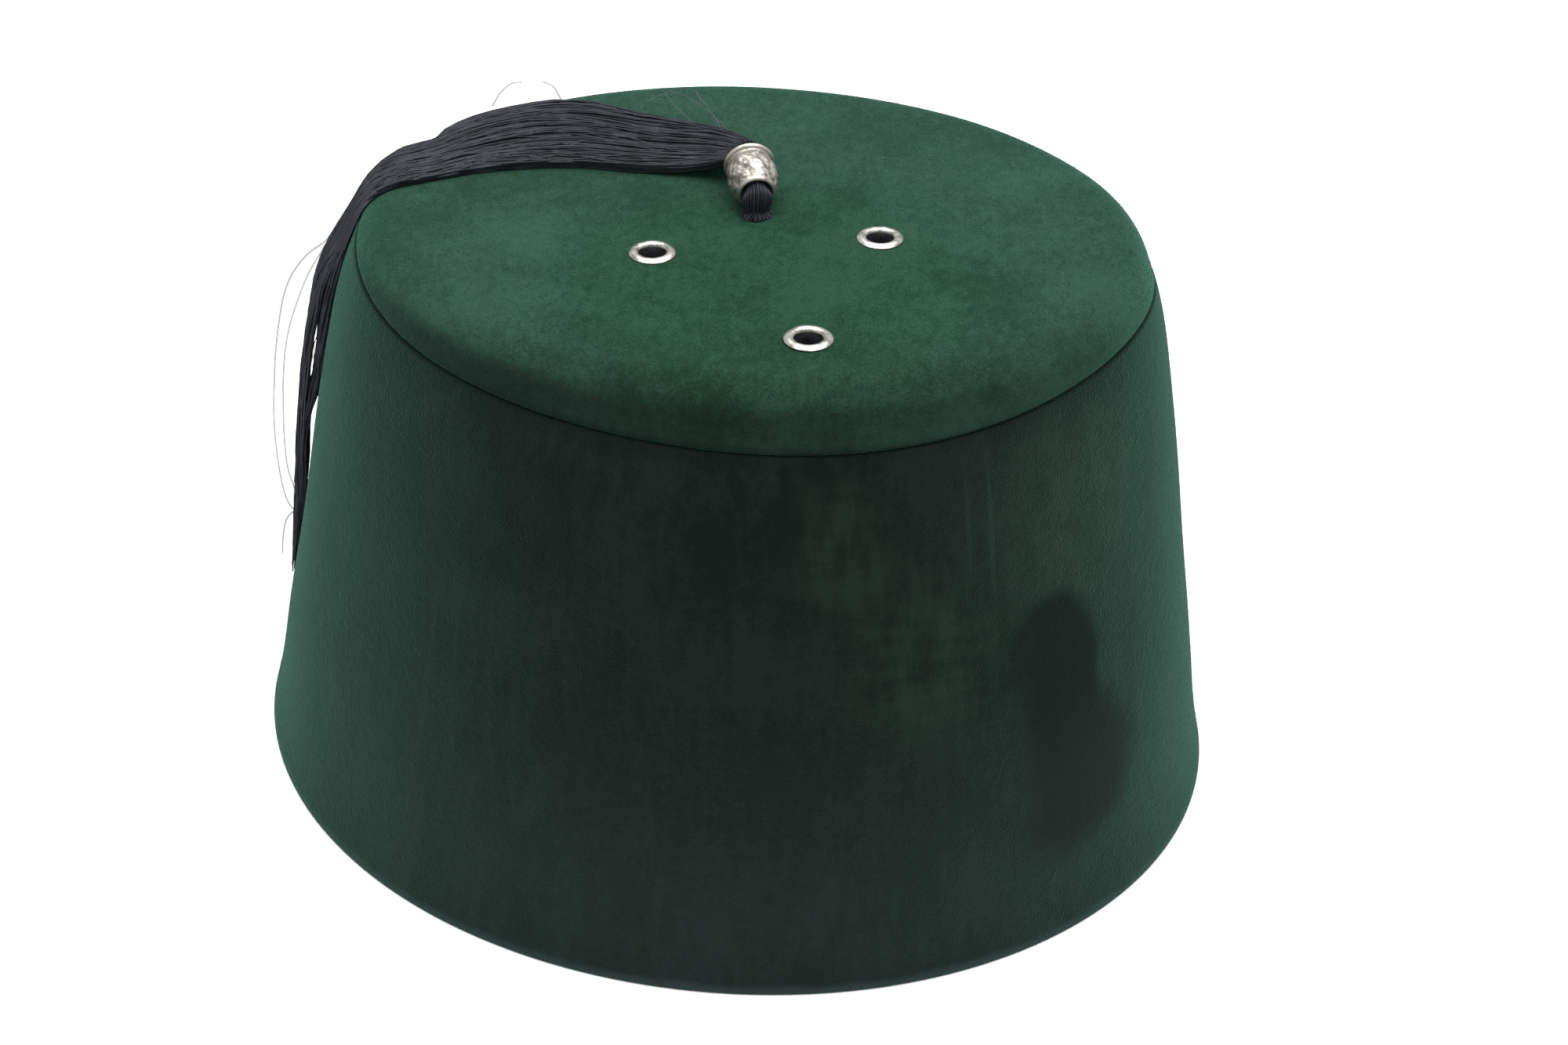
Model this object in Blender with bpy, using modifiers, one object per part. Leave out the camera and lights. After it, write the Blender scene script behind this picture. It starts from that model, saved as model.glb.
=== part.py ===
# A stiff felt fez: an oval side wall, a flat top piece sewn on with a sunken
# seam, three turned eyelets in the top, and a silk tassel that comes up through
# a hole in the middle, runs through a barrel bead and hangs over the back rim.
#
# Lengths in the tables are millimetres and are turned to metres in solid().
# Frame: the middle of the base oval at the origin, +Z up, the long side of the
# head oval along X with the back of the head (and the tassel) at -X.
# Angles go round the oval from +X towards +Y, in degrees.
from math import pi, sin, cos, sqrt, radians
import bmesh
import bpy
import numpy as np
from mathutils import Vector

for ob in list(bpy.data.objects):
    bpy.data.objects.remove(ob, do_unlink=True)

MM = 0.001
GAP = 0.3            # left between neighbouring pieces
SEG = 80             # flats round the crown

# ---------------------------------------------------------------- the crown
TALL = 115.97        # floor to the flat top
FELT = 2.5           # thickness of the felt
CORNER_LONG = 72.64  # half sizes of the oval where wall and top would meet
CORNER_WIDE = 60.54
ROUND = 4.97         # reach of the rounded edge, along wall and along top
LEAN_X = 0.0197      # the top sits a little higher towards the front
LEAN_Y = -0.0006
RIM_CHAMFER = 0.5    # at the cut edge that stands on the floor
SEAM_V = 0.6         # depth of the V where wall and top are sewn together
WAVES_FROM = 90.0    # below this height the wall's ovals are level

# outer half length and half width of the wall by height
WALL = (
    # height, long, wide
    (0.0, 100.00, 87.57),
    (3.0, 99.19, 86.77),
    (8.0, 97.92, 85.51),
    (15.0, 96.44, 84.05),
    (24.0, 94.76, 82.40),
    (35.0, 92.56, 80.23),
    (46.0, 90.29, 78.00),
    (58.0, 87.96, 75.69),
    (70.0, 85.68, 73.45),
    (80.0, 83.72, 71.52),
    (90.0, 81.60, 69.42),
    (98.0, 79.64, 67.49),
    (104.0, 77.76, 65.63),
    (111.0, 74.92, 62.80),
)
TANGENT = TALL - ROUND   # where the wall ends and the rounding begins

# depth of the seam below the top: a mean and waves round the oval
SEAM_DEPTH = 8.23
SEAM_WAVES = (
    # waves, cosine, sine
    (1, 1.96, -0.64),
    (2, -1.63, 0.15),
    (3, 0.25, 0.68),
    (4, -0.62, 0.49),
)

# ---------------------------------------------------------------- the trim
EYELETS = (
    # name, x, y
    ("eyelet_left", -14.86, -18.72),
    ("eyelet_right", 24.97, -4.85),
    ("eyelet_front", 17.90, -43.48),
)
EYELET_HOLE = 3.1        # radius of the hole in the felt
EYELET_FLATS = 24
EYELET_PROFILE = (
    # radius, height over the felt: up the bore, over the dome, under the flange
    (2.32, -3.30), (2.32, 0.05), (2.50, 0.62), (3.00, 0.96), (3.55, 0.93),
    (4.08, 0.68), (4.36, 0.30), (2.80, 0.30), (2.80, -2.80), (3.85, -2.80),
    (3.95, -3.20), (3.20, -3.60),
)

HOLE = (1.00, -0.05)     # of the tassel's cord, near the middle of the top
HOLE_RADIUS = 2.1
BEAD_FLATS = 24
BEAD_MIDDLE = (-0.90, 5.10, 5.13)    # over the flat top
BEAD_AXIS = (-0.339, 0.917, 0.209)   # from the mouth to the ring
BEAD_PROFILE = (
    # radius, along the axis: round the ring, down the barrel, into the mouth
    (3.05, 3.40), (3.30, 4.70), (4.20, 4.70), (4.62, 4.60), (4.85, 4.15),
    (4.66, 3.70), (4.18, 3.50), (4.18, 3.20), (4.55, 2.00), (4.72, 0.20),
    (4.58, -1.60), (4.15, -3.20), (3.58, -4.30), (3.20, -4.70), (2.90, -4.70),
)

MATERIALS = {
    # name: colour, roughness, metallic
    "felt": ((0.030, 0.085, 0.055), 0.95, 0.0),
    "nickel": ((0.72, 0.71, 0.68), 0.22, 1.0),
    "old_silver": ((0.50, 0.48, 0.44), 0.36, 1.0),
    "silk": ((0.012, 0.011, 0.016), 0.45, 0.0),
}

# ---------------------------------------------------------------- the tassel
LOBES = 9            # locks side by side
RELIEF = 0.24        # depth of the valleys between them, share of the thickness
EDGE = 0.22          # thickness at the two edges, share of the thickness
CORD = (
    # ahead of the hole along the bead, over the top, pitch, half wide, half thick
    (0.00, -9.40, 0, 0.90, 0.90),
    (0.00, -8.80, 0, 2.60, 2.60),
    (0.00, -7.20, 0, 3.70, 3.70),
    (0.00, -5.00, 0, 3.70, 3.70),
    (0.00, -3.40, 0, 2.70, 2.50),
    (0.00, -2.85, 0, 1.65, 1.05),
    (0.00, 1.20, 0, 1.75, 1.15),
    (-0.45, 2.60, 25, 2.15, 1.50),
    (-0.15, 3.90, 58, 2.45, 2.00),
)
IN_BEAD = (
    # along the bead's axis, radius
    (-4.70, 2.60),
    (4.90, 2.60),
)
FAN = (
    # front x, front y, back x, back y, over the felt, thick, roundness, falling off
    (-5.60, 10.20, -0.90, 13.60, 4.00, 5.30, 0.95, 0.0),
    (-8.20, 11.90, -4.40, 19.60, 2.00, 5.90, 0.70, 0.0),
    (-12.40, 12.70, -10.80, 26.20, 0.80, 6.10, 0.40, 0.0),
    (-19.00, 12.60, -18.60, 30.00, 0.30, 5.80, 0.15, 0.0),
    (-27.00, 12.20, -28.20, 33.20, 0.30, 5.40, 0.00, 0.0),
    (-35.50, 12.20, -38.60, 37.40, 0.30, 5.10, 0.00, 0.0),
    (-43.50, 10.40, -47.60, 37.20, 0.30, 4.80, 0.00, 0.0),
    (-50.50, 8.00, -55.40, 33.20, 0.30, 4.40, 0.00, 0.05),
    (-56.80, 4.80, -61.80, 28.00, 0.30, 3.80, 0.00, 0.10),
    (-62.60, 1.00, -65.80, 21.20, 0.30, 3.00, 0.00, 0.05),
)
OVER_RIM = (
    # share of the rounding from its lower end (or height if over 2), front, back,
    # thick, falling off
    (1.00, 182.6, 162.9, 2.40, 0.00),
    (0.62, 185.4, 166.0, 2.10, 0.00),
    (0.30, 187.2, 168.2, 2.00, 0.00),
    (0.00, 188.4, 169.6, 2.20, 0.00),
    (105.50, 189.4, 171.0, 3.90, 0.15),
)
LOCKS = (
    # height of the tip, distance of its middle from the felt, body, sideways wave
    (27.5, 3.60, 1.00, 0.10),
    (65.0, 1.15, 0.60, -0.10),
    (35.0, 3.90, 0.80, 0.12),
    (56.0, 1.25, 0.65, 0.00),
    (38.0, 2.40, 0.85, -0.12),
    (47.0, 1.40, 0.80, 0.10),
    (41.0, 2.20, 0.80, 0.10),
    (52.0, 1.30, 0.80, -0.10),
    (45.0, 1.60, 0.75, 0.10),
)
LOCK_RINGS = (
    # share of the way to the tip, wide, thick, share of the distance, own shape
    (0.07, 0.84, 3.60, 0.00, 0.35),
    (0.18, 0.84, 2.80, 0.55, 0.80),
    (0.29, 0.86, 2.00, 1.00, 1.00),
    (0.46, 0.88, 2.10, 0.92, 1.00),
    (0.62, 0.86, 2.20, 0.72, 1.00),
    (0.78, 0.76, 1.70, 0.48, 1.00),
    (0.91, 0.58, 0.95, 0.32, 1.00),
    (1.00, 0.26, 0.45, 0.20, 1.00),
)


def unit(v):
    v = np.asarray(v, float)
    return v / np.linalg.norm(v)


def curve(rows, at, column):
    """A smooth value between the rows of a table (cubic, no overshoot)."""
    x = [r[0] for r in rows]
    y = [r[column] for r in rows]
    i = min(max(int(np.searchsorted(x, at)) - 1, 0), len(x) - 2)

    def slope(k):
        if k in (0, len(x) - 1):
            j = 0 if k == 0 else len(x) - 2
            return (y[j + 1] - y[j]) / (x[j + 1] - x[j])
        before = (y[k] - y[k - 1]) / (x[k] - x[k - 1])
        after = (y[k + 1] - y[k]) / (x[k + 1] - x[k])
        return 0.0 if before * after <= 0 else 2 * before * after / (before + after)

    d = x[i + 1] - x[i]
    t = (at - x[i]) / d
    return ((2 * t**3 - 3 * t**2 + 1) * y[i] + (t**3 - 2 * t**2 + t) * d * slope(i)
            + (3 * t**2 - 2 * t**3) * y[i + 1] + (t**3 - t**2) * d * slope(i + 1))


def wall(height):
    return curve(WALL, height, 1), curve(WALL, height, 2)


def rounding(share, inset=0.0):
    """Half sizes and height on the rounded edge: 0 at the wall, 1 at the flat."""
    long0, wide0 = wall(TANGENT)
    long1, wide1 = wall(TANGENT - 0.5)
    low = np.array((long0 - inset, wide0 - inset, TANGENT))
    corner = np.array((long0 + (long0 - long1) / 0.5 * ROUND - inset,
                       wide0 + (wide0 - wide1) / 0.5 * ROUND - inset, TALL - inset))
    end = np.array((CORNER_LONG - ROUND, CORNER_WIDE - ROUND, TALL - inset))
    return (1 - share)**2 * low + 2 * (1 - share) * share * corner + share**2 * end


def skin(height, inset=0.0):
    """Half sizes of the felt's outer (or inset) face at one height."""
    if height <= TANGENT:
        long, wide = wall(height)
        return long - inset, wide - inset, height
    share = 1 - sqrt(max(TALL - inset - height, 0) / (TALL - inset - TANGENT))
    return tuple(rounding(share, inset))


def seam(angle):
    return TALL - SEAM_DEPTH - sum(c * cos(k * angle) + s * sin(k * angle)
                                   for k, c, s in SEAM_WAVES)


def lean(point):
    """Lift a point with the lean of the top, which fades to none at the floor."""
    x, y, z = point
    return (x, y, z + (LEAN_X * x + LEAN_Y * y) * min(max(z / TALL, 0), 1))


def oval(long, wide, height, angle):
    return np.array((long * cos(angle), wide * sin(angle), height))


def shell_point(angle, level):
    """Outer face and its outward direction; level 0..1 on the rounding, else a height."""
    step = 0.01
    pair = []
    for lv in (level, level + step if level != 1.0 else level - step):
        pair.append(rounding(lv) if level <= 2 else skin(lv))
    (a, b, z), (a2, b2, z2) = pair
    here, up = oval(a, b, z, angle), oval(a2, b2, z2, angle)
    along = up - here if level != 1.0 else here - up
    across = np.array((-a * sin(angle), b * cos(angle), 0.0))
    return here, unit(np.cross(across, along))


def material(name):
    if name not in bpy.data.materials:
        colour, roughness, metallic = MATERIALS[name]
        made = bpy.data.materials.new(name)
        made.use_nodes = True
        surface = made.node_tree.nodes["Principled BSDF"]
        surface.inputs["Base Color"].default_value = (*colour, 1)
        surface.inputs["Roughness"].default_value = roughness
        surface.inputs["Metallic"].default_value = metallic
    return bpy.data.materials[name]


def add(name, mesh, slot):
    """One named object in the hat's collection, shaded smooth, with its material."""
    mesh.shade_smooth()
    mesh.set_sharp_from_angle(angle=radians(40))
    mesh.materials.append(material(slot))
    ob = bpy.data.objects.new(name, mesh)
    fez.objects.link(ob)
    return ob


def loft(name, points, faces, slot):
    """One closed object from points in millimetres, leaned with the top."""
    mesh = bpy.data.meshes.new(name)
    mesh.from_pydata([[c * MM for c in lean(p)] for p in points], [], faces)
    bm = bmesh.new()
    bm.from_mesh(mesh)
    bmesh.ops.recalc_face_normals(bm, faces=bm.faces[:])
    bm.to_mesh(mesh)
    bm.free()
    return add(name, mesh, slot)


def bands(rings, count, closed=False):
    """Quads between rings of `count` points that follow each other."""
    faces = []
    pairs = [(k, k + 1) for k in range(rings - 1)] + ([(rings - 1, 0)] if closed else [])
    for k, n in pairs:
        for i in range(count):
            j = (i + 1) % count
            faces.append((k * count + i, k * count + j, n * count + j, n * count + i))
    return faces


def round_angles(count=SEG):
    return [2 * pi * i / count for i in range(count)]


# ---------------------------------------------------------------- crown_side
def crown_side():
    """A loft of ovals: up the outer face, over the seam edge, down the inner face."""
    def level(height, inset=0.0):
        return [oval(*skin(height, inset), a) for a in round_angles()]

    def under_seam(share, inset=0.0, drop=GAP / 2 + SEAM_V):
        """An oval that follows the seam's waves: 0 at WAVES_FROM, 1 at the seam edge."""
        return [oval(*skin(WAVES_FROM + share * (seam(a) - drop - WAVES_FROM), inset), a)
                for a in round_angles()]

    long, wide = wall(0)
    rings = [[oval(long - RIM_CHAMFER, wide - RIM_CHAMFER, 0, a) for a in round_angles()]]
    rings += [level(h) for h in (RIM_CHAMFER, 5.0, 15.0, 35.0, 58.0, 78.0, WAVES_FROM)]
    rings += [under_seam(share) for share in (0.5, 0.82, 1.0)]
    rings += [under_seam(1.0, inset, GAP / 2) for inset in (SEAM_V, FELT)]
    rings.append(under_seam(1.0, FELT, 4.0))
    rings += [level(h, FELT) for h in (WAVES_FROM, 58.0, 24.0, 8.0, RIM_CHAMFER)]
    rings.append(level(0.0, FELT - RIM_CHAMFER))
    loft("crown_side", [p for ring in rings for p in ring],
         bands(len(rings), SEG, closed=True), "felt")


# ---------------------------------------------------------------- crown_top
def crown_top():
    def ring(height_of, inset):
        return [oval(*skin(height_of(a), inset), a) for a in round_angles()]

    def up(share, start, inset):
        """Between the seam and the flat: equal steps of the rounding's share."""
        out = []
        for a in round_angles():
            z0 = seam(a) + start
            if z0 < TANGENT:
                s0 = (z0 - TANGENT) / ROUND / 2
            else:
                s0 = 1 - sqrt(max(TALL - inset - z0, 0) / (TALL - inset - TANGENT))
            s = s0 + (1 - s0) * share
            if s < 0:
                out.append(oval(*skin(TANGENT + s * ROUND * 2, inset), a))
            else:
                out.append(oval(*rounding(s, inset), a))
        return out

    rings = [up(s, GAP / 2 + SEAM_V, 0.0) for s in (1.0, 0.84, 0.68, 0.5, 0.3, 0.0)]
    for inset in (SEAM_V, FELT):
        rings.append(ring(lambda a: seam(a) + GAP / 2, inset))
    rings += [up(s, GAP / 2 + SEAM_V, FELT) for s in (0.4, 0.75, 1.0)]

    bm = bmesh.new()
    made = [[bm.verts.new(p) for p in r] for r in rings]
    for low, high in zip(made, made[1:]):
        for i in range(SEG):
            j = (i + 1) % SEG
            bm.faces.new((low[i], low[j], high[j], high[i]))

    def edges(verts):
        out = []
        for a, b in zip(verts, verts[1:] + verts[:1]):
            out.append(bm.edges.get((a, b)) or bm.edges.new((a, b)))
        return out

    holes = [(x, y, EYELET_HOLE) for _, x, y in EYELETS] + [(*HOLE, HOLE_RADIUS)]
    walls = []
    for height, border in ((TALL, made[0]), (TALL - FELT, made[-1])):
        rims = [[bm.verts.new((x + r * cos(a), y + r * sin(a), height))
                 for a in round_angles(EYELET_FLATS)] for x, y, r in holes]
        walls.append(rims)
        lines = edges(border)
        for rim in rims:
            lines += edges(rim)
        bmesh.ops.triangle_fill(bm, use_beauty=True, edges=lines, normal=(0, 0, 1))
    for high, low in zip(*walls):
        for i in range(EYELET_FLATS):
            j = (i + 1) % EYELET_FLATS
            bm.faces.new((high[i], high[j], low[j], low[i]))
    for v in bm.verts:
        v.co = lean(v.co)
        v.co *= MM
    bmesh.ops.recalc_face_normals(bm, faces=bm.faces[:])
    mesh = bpy.data.meshes.new("crown_top")
    bm.to_mesh(mesh)
    bm.free()
    add("crown_top", mesh, "felt")


# ---------------------------------------------------------------- turned pieces
def turned(name, profile, flats, middle, axis, slot):
    """A profile (radius, height) turned round its own Z, then set on an axis."""
    mesh = bpy.data.meshes.new(name)
    count = len(profile)
    mesh.from_pydata([(r * MM, 0, h * MM) for r, h in profile],
                     [(k, (k + 1) % count) for k in range(count)], [])
    ob = add(name, mesh, slot)
    ob.location = Vector(lean(middle)) * MM
    sheared = Vector(axis) + Vector((0, 0, LEAN_X * axis[0] + LEAN_Y * axis[1]))
    ob.rotation_euler = sheared.to_track_quat("Z", "Y").to_euler()
    screw = ob.modifiers.new("turn", "SCREW")
    screw.steps = screw.render_steps = flats
    screw.merge_threshold = 0.00001
    return ob


def eyelets():
    for name, x, y in EYELETS:
        turned(name, EYELET_PROFILE, EYELET_FLATS, (x, y, TALL), (-LEAN_X, -LEAN_Y, 1),
               "nickel")


def tassel_bead():
    x, y, over = BEAD_MIDDLE
    turned("tassel_bead", BEAD_PROFILE, BEAD_FLATS, (x, y, TALL + over), BEAD_AXIS,
           "old_silver")


# ---------------------------------------------------------------- tassel
def lock_ring(front, back, out_front, out_back, over, thick, roundness, falling=0.0):
    """The outline of all locks at one place: a row of lobes on a nearly flat back.

    front and back are the two edges on the felt, out_* the felt's outward
    direction there. falling is the share of the thickness lost towards the back.
    Returns the upper points and the lower points, front to back.
    """
    def place(u, height):
        turn = pi * (0.04 + 0.92 * u)
        v = (1 - roundness) * u + roundness * (1 - cos(turn)) / 2
        out = unit((1 - v) * out_front + v * out_back)
        return (1 - v) * front + v * back + out * (over + height)

    def upper(u):
        lens = EDGE + (1 - EDGE) * sqrt(max(1 - abs(2 * u - 1)**2.4, 0))
        valley = 1 - RELIEF * (1 - abs(sin(pi * LOBES * u)))
        flat = lens * valley * (1 - falling * u)
        full = (1 + sin(pi * (0.04 + 0.92 * u))) / 2
        return thick * ((1 - roundness) * flat + roundness * full)

    def lower(u):
        flat = 0.05 * (1 - abs(sin(pi * LOBES * u)))
        full = (1 - sin(pi * (0.04 + 0.92 * u))) / 2
        return thick * ((1 - roundness) * flat + roundness * full)

    top = [place(k / (4 * LOBES), upper(k / (4 * LOBES))) for k in range(4 * LOBES + 1)]
    low = [place(k / (2 * LOBES), lower(k / (2 * LOBES))) for k in range(2 * LOBES + 1)]
    return top, low


def tube_ring(middle, across, out, half_wide, half_thick):
    """lock_ring for the cord: round, about a middle point."""
    base = middle - out * half_thick
    return lock_ring(base - across * half_wide, base + across * half_wide, out, out,
                     0.0, 2 * half_thick, 1.0)


def tassel_rings():
    """All rings of the closed part, from the knot under the top to the split."""
    axis = unit(BEAD_AXIS)
    ahead = unit((axis[0], axis[1], 0))
    across = unit((axis[1], -axis[0], 0))
    up = np.array((0.0, 0.0, 1.0))
    foot = np.array((HOLE[0], HOLE[1], TALL))
    rings = []
    for along, height, pitch, half_wide, half_thick in CORD:
        p = radians(pitch)
        rings.append(tube_ring(foot + ahead * along + up * height, across,
                               -ahead * cos(p) + up * sin(p), half_wide, half_thick))
    middle = np.array(BEAD_MIDDLE) + up * TALL
    for along, radius in IN_BEAD:
        rings.append(tube_ring(middle + axis * along, across,
                               unit(np.cross(across, axis)), radius, radius))
    for fx, fy, bx, by, over, thick, roundness, falling in FAN:
        rings.append(lock_ring(np.array((fx, fy, TALL)), np.array((bx, by, TALL)),
                               up, up, over, thick, roundness, falling))
    for row in OVER_RIM:
        rings.append(rim_ring(*row))
    return rings


def rim_ring(level, front, back, thick, falling):
    """lock_ring bent round the oval: every point is set off from its own place."""
    flat_top, flat_low = lock_ring(np.array((0.0, 0, 0)), np.array((1.0, 0, 0)),
                                   np.array((0, 0, 1.0)), np.array((0, 0, 1.0)),
                                   GAP, thick, 0.0, falling)

    def bend(p):
        here, out = shell_point(radians(front + (back - front) * p[0]), level)
        return here + out * p[2]

    return [bend(p) for p in flat_top], [bend(p) for p in flat_low]


def tassel():
    rings = tassel_rings()
    points, faces = [], []
    tops, lows = [], []
    for top, low in rings:
        tops.append(list(range(len(points), len(points) + len(top))))
        points += top
        lows.append(list(range(len(points), len(points) + len(low))))
        points += low
    for k in range(len(rings) - 1):
        a = tops[k] + lows[k][::-1]
        b = tops[k + 1] + lows[k + 1][::-1]
        for i in range(len(a)):
            j = (i + 1) % len(a)
            faces.append((a[i], a[j], b[j], b[i]))
    faces.append(tuple(tops[0] + lows[0][::-1]))

    start, front, back, thick, falling = OVER_RIM[-1]
    for n, (tip, far, body, wave) in enumerate(LOCKS):
        u0 = (n + 0.5) / LOBES
        angle = radians(front + (back - front) * u0)
        ring = tops[-1][4 * n:4 * n + 5] + lows[-1][2 * n:2 * n + 3][::-1]
        # the lock's own outline at the split, seen from its middle
        here, out = shell_point(angle, start)
        side = unit(np.cross(out, (0, 0, 1)))
        first = [((points[i] - here) @ side, (points[i] - here) @ out) for i in ring]
        flip = 1 if first[4][0] > first[0][0] else -1
        slot = abs(first[4][0] - first[0][0])
        depth = thick * (1 - falling * u0)
        for share, wide, deep, away, own in LOCK_RINGS:
            wide *= slot
            early = min(share / 0.29, 1)
            deep = min(deep * (1 - early + early * body), depth)
            height = start + (tip - start) * share
            turn = angle + radians(wave * sin(2 * pi * share) * 1.5)
            here, out = shell_point(turn, height)
            side = unit(np.cross(out, (0, 0, 1))) * flip
            mean = far * away if early == 1 else (depth / 2 + GAP) * (1 - early) + far * early
            mean = max(mean, deep / 2 + GAP)
            fresh = []
            for (s0, o0), spot in zip(first, (150, 120, 90, 60, 30, -30, -90, -150)):
                s1, o1 = wide / 2 * cos(radians(spot)), deep / 2 * sin(radians(spot)) + mean
                s = (1 - own) * s0 * flip * wide / slot + own * s1
                o = (1 - own) * o0 + own * o1
                fresh.append(here + side * s + out * o)
            new = list(range(len(points), len(points) + len(fresh)))
            points += fresh
            for i in range(8):
                j = (i + 1) % 8
                faces.append((ring[i], ring[j], new[j], new[i]))
            ring = new
        faces.append(tuple(ring))
    loft("tassel", points, faces, "silk")


fez = bpy.data.collections.new("fez_hat")
bpy.context.scene.collection.children.link(fez)
crown_side()
crown_top()
eyelets()
tassel_bead()
tassel()
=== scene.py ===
# %% [markdown]
# # A green felt fez with a black silk tassel
#
# The hat is a stiff oval cap of velour felt. A flat top piece is sewn to the side
# wall, three nickel eyelets let air through the top, and a tassel of loose silk
# comes up through the middle, runs through a barrel bead and falls over the back.
# The solids of the hat are already made to size, and they are loaded first as a
# fixed frame. This script gives them their surface: fine felt, metal and silk.
# Lengths in the tables are millimetres, and MM turns them into Blender's metres.

# %% Load the frame
from math import atan2, cos, exp, hypot, pi, radians, sin, sqrt

import bmesh
import bpy
import numpy as np
from mathutils import Matrix, Vector, noise


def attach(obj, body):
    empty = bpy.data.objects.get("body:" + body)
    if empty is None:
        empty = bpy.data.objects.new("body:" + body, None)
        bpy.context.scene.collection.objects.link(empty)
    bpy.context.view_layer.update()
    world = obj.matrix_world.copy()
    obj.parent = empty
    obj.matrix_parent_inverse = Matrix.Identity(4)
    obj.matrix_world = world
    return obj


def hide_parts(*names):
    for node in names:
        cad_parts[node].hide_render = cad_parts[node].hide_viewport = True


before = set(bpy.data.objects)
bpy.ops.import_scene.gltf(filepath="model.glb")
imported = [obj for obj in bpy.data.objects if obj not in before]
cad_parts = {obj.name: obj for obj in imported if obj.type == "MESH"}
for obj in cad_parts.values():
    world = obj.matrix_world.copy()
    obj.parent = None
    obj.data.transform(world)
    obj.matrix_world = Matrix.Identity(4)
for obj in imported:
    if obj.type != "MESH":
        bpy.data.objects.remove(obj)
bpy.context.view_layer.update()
MM = 0.001

# %% [markdown]
# ## The camera
#
# The photographer stood in front of the hat and a little to its right, and looked
# down on it. A camera could be aimed with a Track To constraint, but three plain
# turns say more: how far it stands round the hat, how steeply it looks down, and
# how far it is tipped on its own axis.

# %% Set up the camera
CAMERA_PLACE = (62.99, -370.95, 311.84)
CAMERA_ROUND, CAMERA_DOWN, CAMERA_TIP = 8.32, 35.28, 2.55    # degrees
LENS, SENSOR = 51.43, 36.0


def placed(name, data):
    """A new object in the scene, at the origin."""
    made = bpy.data.objects.new(name, data)
    bpy.context.scene.collection.objects.link(made)
    return made


camera = placed("camera", bpy.data.cameras.new("camera"))
camera.data.lens, camera.data.sensor_width = LENS, SENSOR
camera.data.clip_start = 0.01
camera.matrix_world = (
    Matrix.Translation(Vector(CAMERA_PLACE) * MM)
    @ Matrix.Rotation(radians(CAMERA_ROUND), 4, "Z")
    @ Matrix.Rotation(radians(90 - CAMERA_DOWN), 4, "X")
    @ Matrix.Rotation(radians(CAMERA_TIP), 4, "Z"))
bpy.context.scene.camera = camera
print("camera at", [round(c, 3) for c in camera.matrix_world.translation])

# %% [markdown]
# ## The studio
#
# The hat was photographed in a bright tent: white all round, a broad soft light
# overhead, and a white floor that the film shows as plain white. One pale floor,
# one world colour and one large area light give the same soft shadow.

# %% Set up the floor and the light
FLOOR_RADIUS, FLOOR_COLOUR = 2.5, (0.90, 0.90, 0.90)
WORLD_COLOUR, WORLD_STRENGTH = (1.0, 1.0, 1.0), 0.75
SOFTBOX_SIZE, SOFTBOX_WATTS = 1.5, 26.0
SOFTBOX_PLACE = (0.05, 0.15, 1.15)    # metres, a little behind the hat and to its right

bpy.context.scene.view_settings.view_transform = "Standard"
world = bpy.data.worlds.new("tent")
world.use_nodes = True
world.node_tree.nodes["Background"].inputs["Color"].default_value = (*WORLD_COLOUR, 1)
world.node_tree.nodes["Background"].inputs["Strength"].default_value = WORLD_STRENGTH
bpy.context.scene.world = world

softbox = placed("softbox", bpy.data.lights.new("softbox", "AREA"))
softbox.data.shape, softbox.data.size = "SQUARE", SOFTBOX_SIZE
softbox.data.energy = SOFTBOX_WATTS
softbox.location = SOFTBOX_PLACE


# %% Turn a bmesh into a named object
def piece(name, bm, smooth=True):
    """A bmesh as an object at the origin, with its place in its mesh."""
    mesh = bpy.data.meshes.new(name)
    bm.to_mesh(mesh)
    bm.free()
    made = placed(name, mesh)
    if smooth:
        mesh.shade_smooth()
    print(f"{name}: {len(mesh.polygons)} faces, {[round(d / MM, 1) for d in made.dimensions]} mm")
    return made


def mesh_of(ob):
    """The mesh that an object's modifiers, or a curve's bevel, make of it."""
    bpy.context.view_layer.update()
    made = ob.evaluated_get(bpy.context.evaluated_depsgraph_get())
    return bpy.data.meshes.new_from_object(made)


bm = bmesh.new()
bmesh.ops.create_circle(bm, cap_ends=True, segments=96, radius=FLOOR_RADIUS)
floor = piece("floor", bm)

# %% [markdown]
# ## Writing a finish as sums
#
# Every finish below is a node tree. Wiring each Math node by hand hides what is
# meant, so a socket is wrapped in a small class that knows +, -, * and /. An
# expression such as 1 - mask then adds its own nodes. Colours are mixed by Mix
# nodes, because a Math node would turn them grey.


# %% Wrap a socket so that it can be reckoned with
class Value:
    """A socket that sums can be written with."""

    def __init__(self, paint, socket):
        self.paint, self.socket = paint, socket

    def math(self, operation, *values):
        made = self.paint.add("ShaderNodeMath", {"operation": operation},
                              dict(enumerate(values)))
        return Value(self.paint, made.outputs[0])

    def __add__(self, other):
        return self.math("ADD", self, other)

    def __sub__(self, other):
        return self.math("SUBTRACT", self, other)

    def __rsub__(self, other):
        return self.math("SUBTRACT", other, self)

    def __mul__(self, other):
        return self.math("MULTIPLY", self, other)

    def __truediv__(self, other):
        return self.math("DIVIDE", self, other)

    __radd__, __rmul__ = __add__, __mul__

    def root(self):
        return self.math("SQRT", self)


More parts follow.
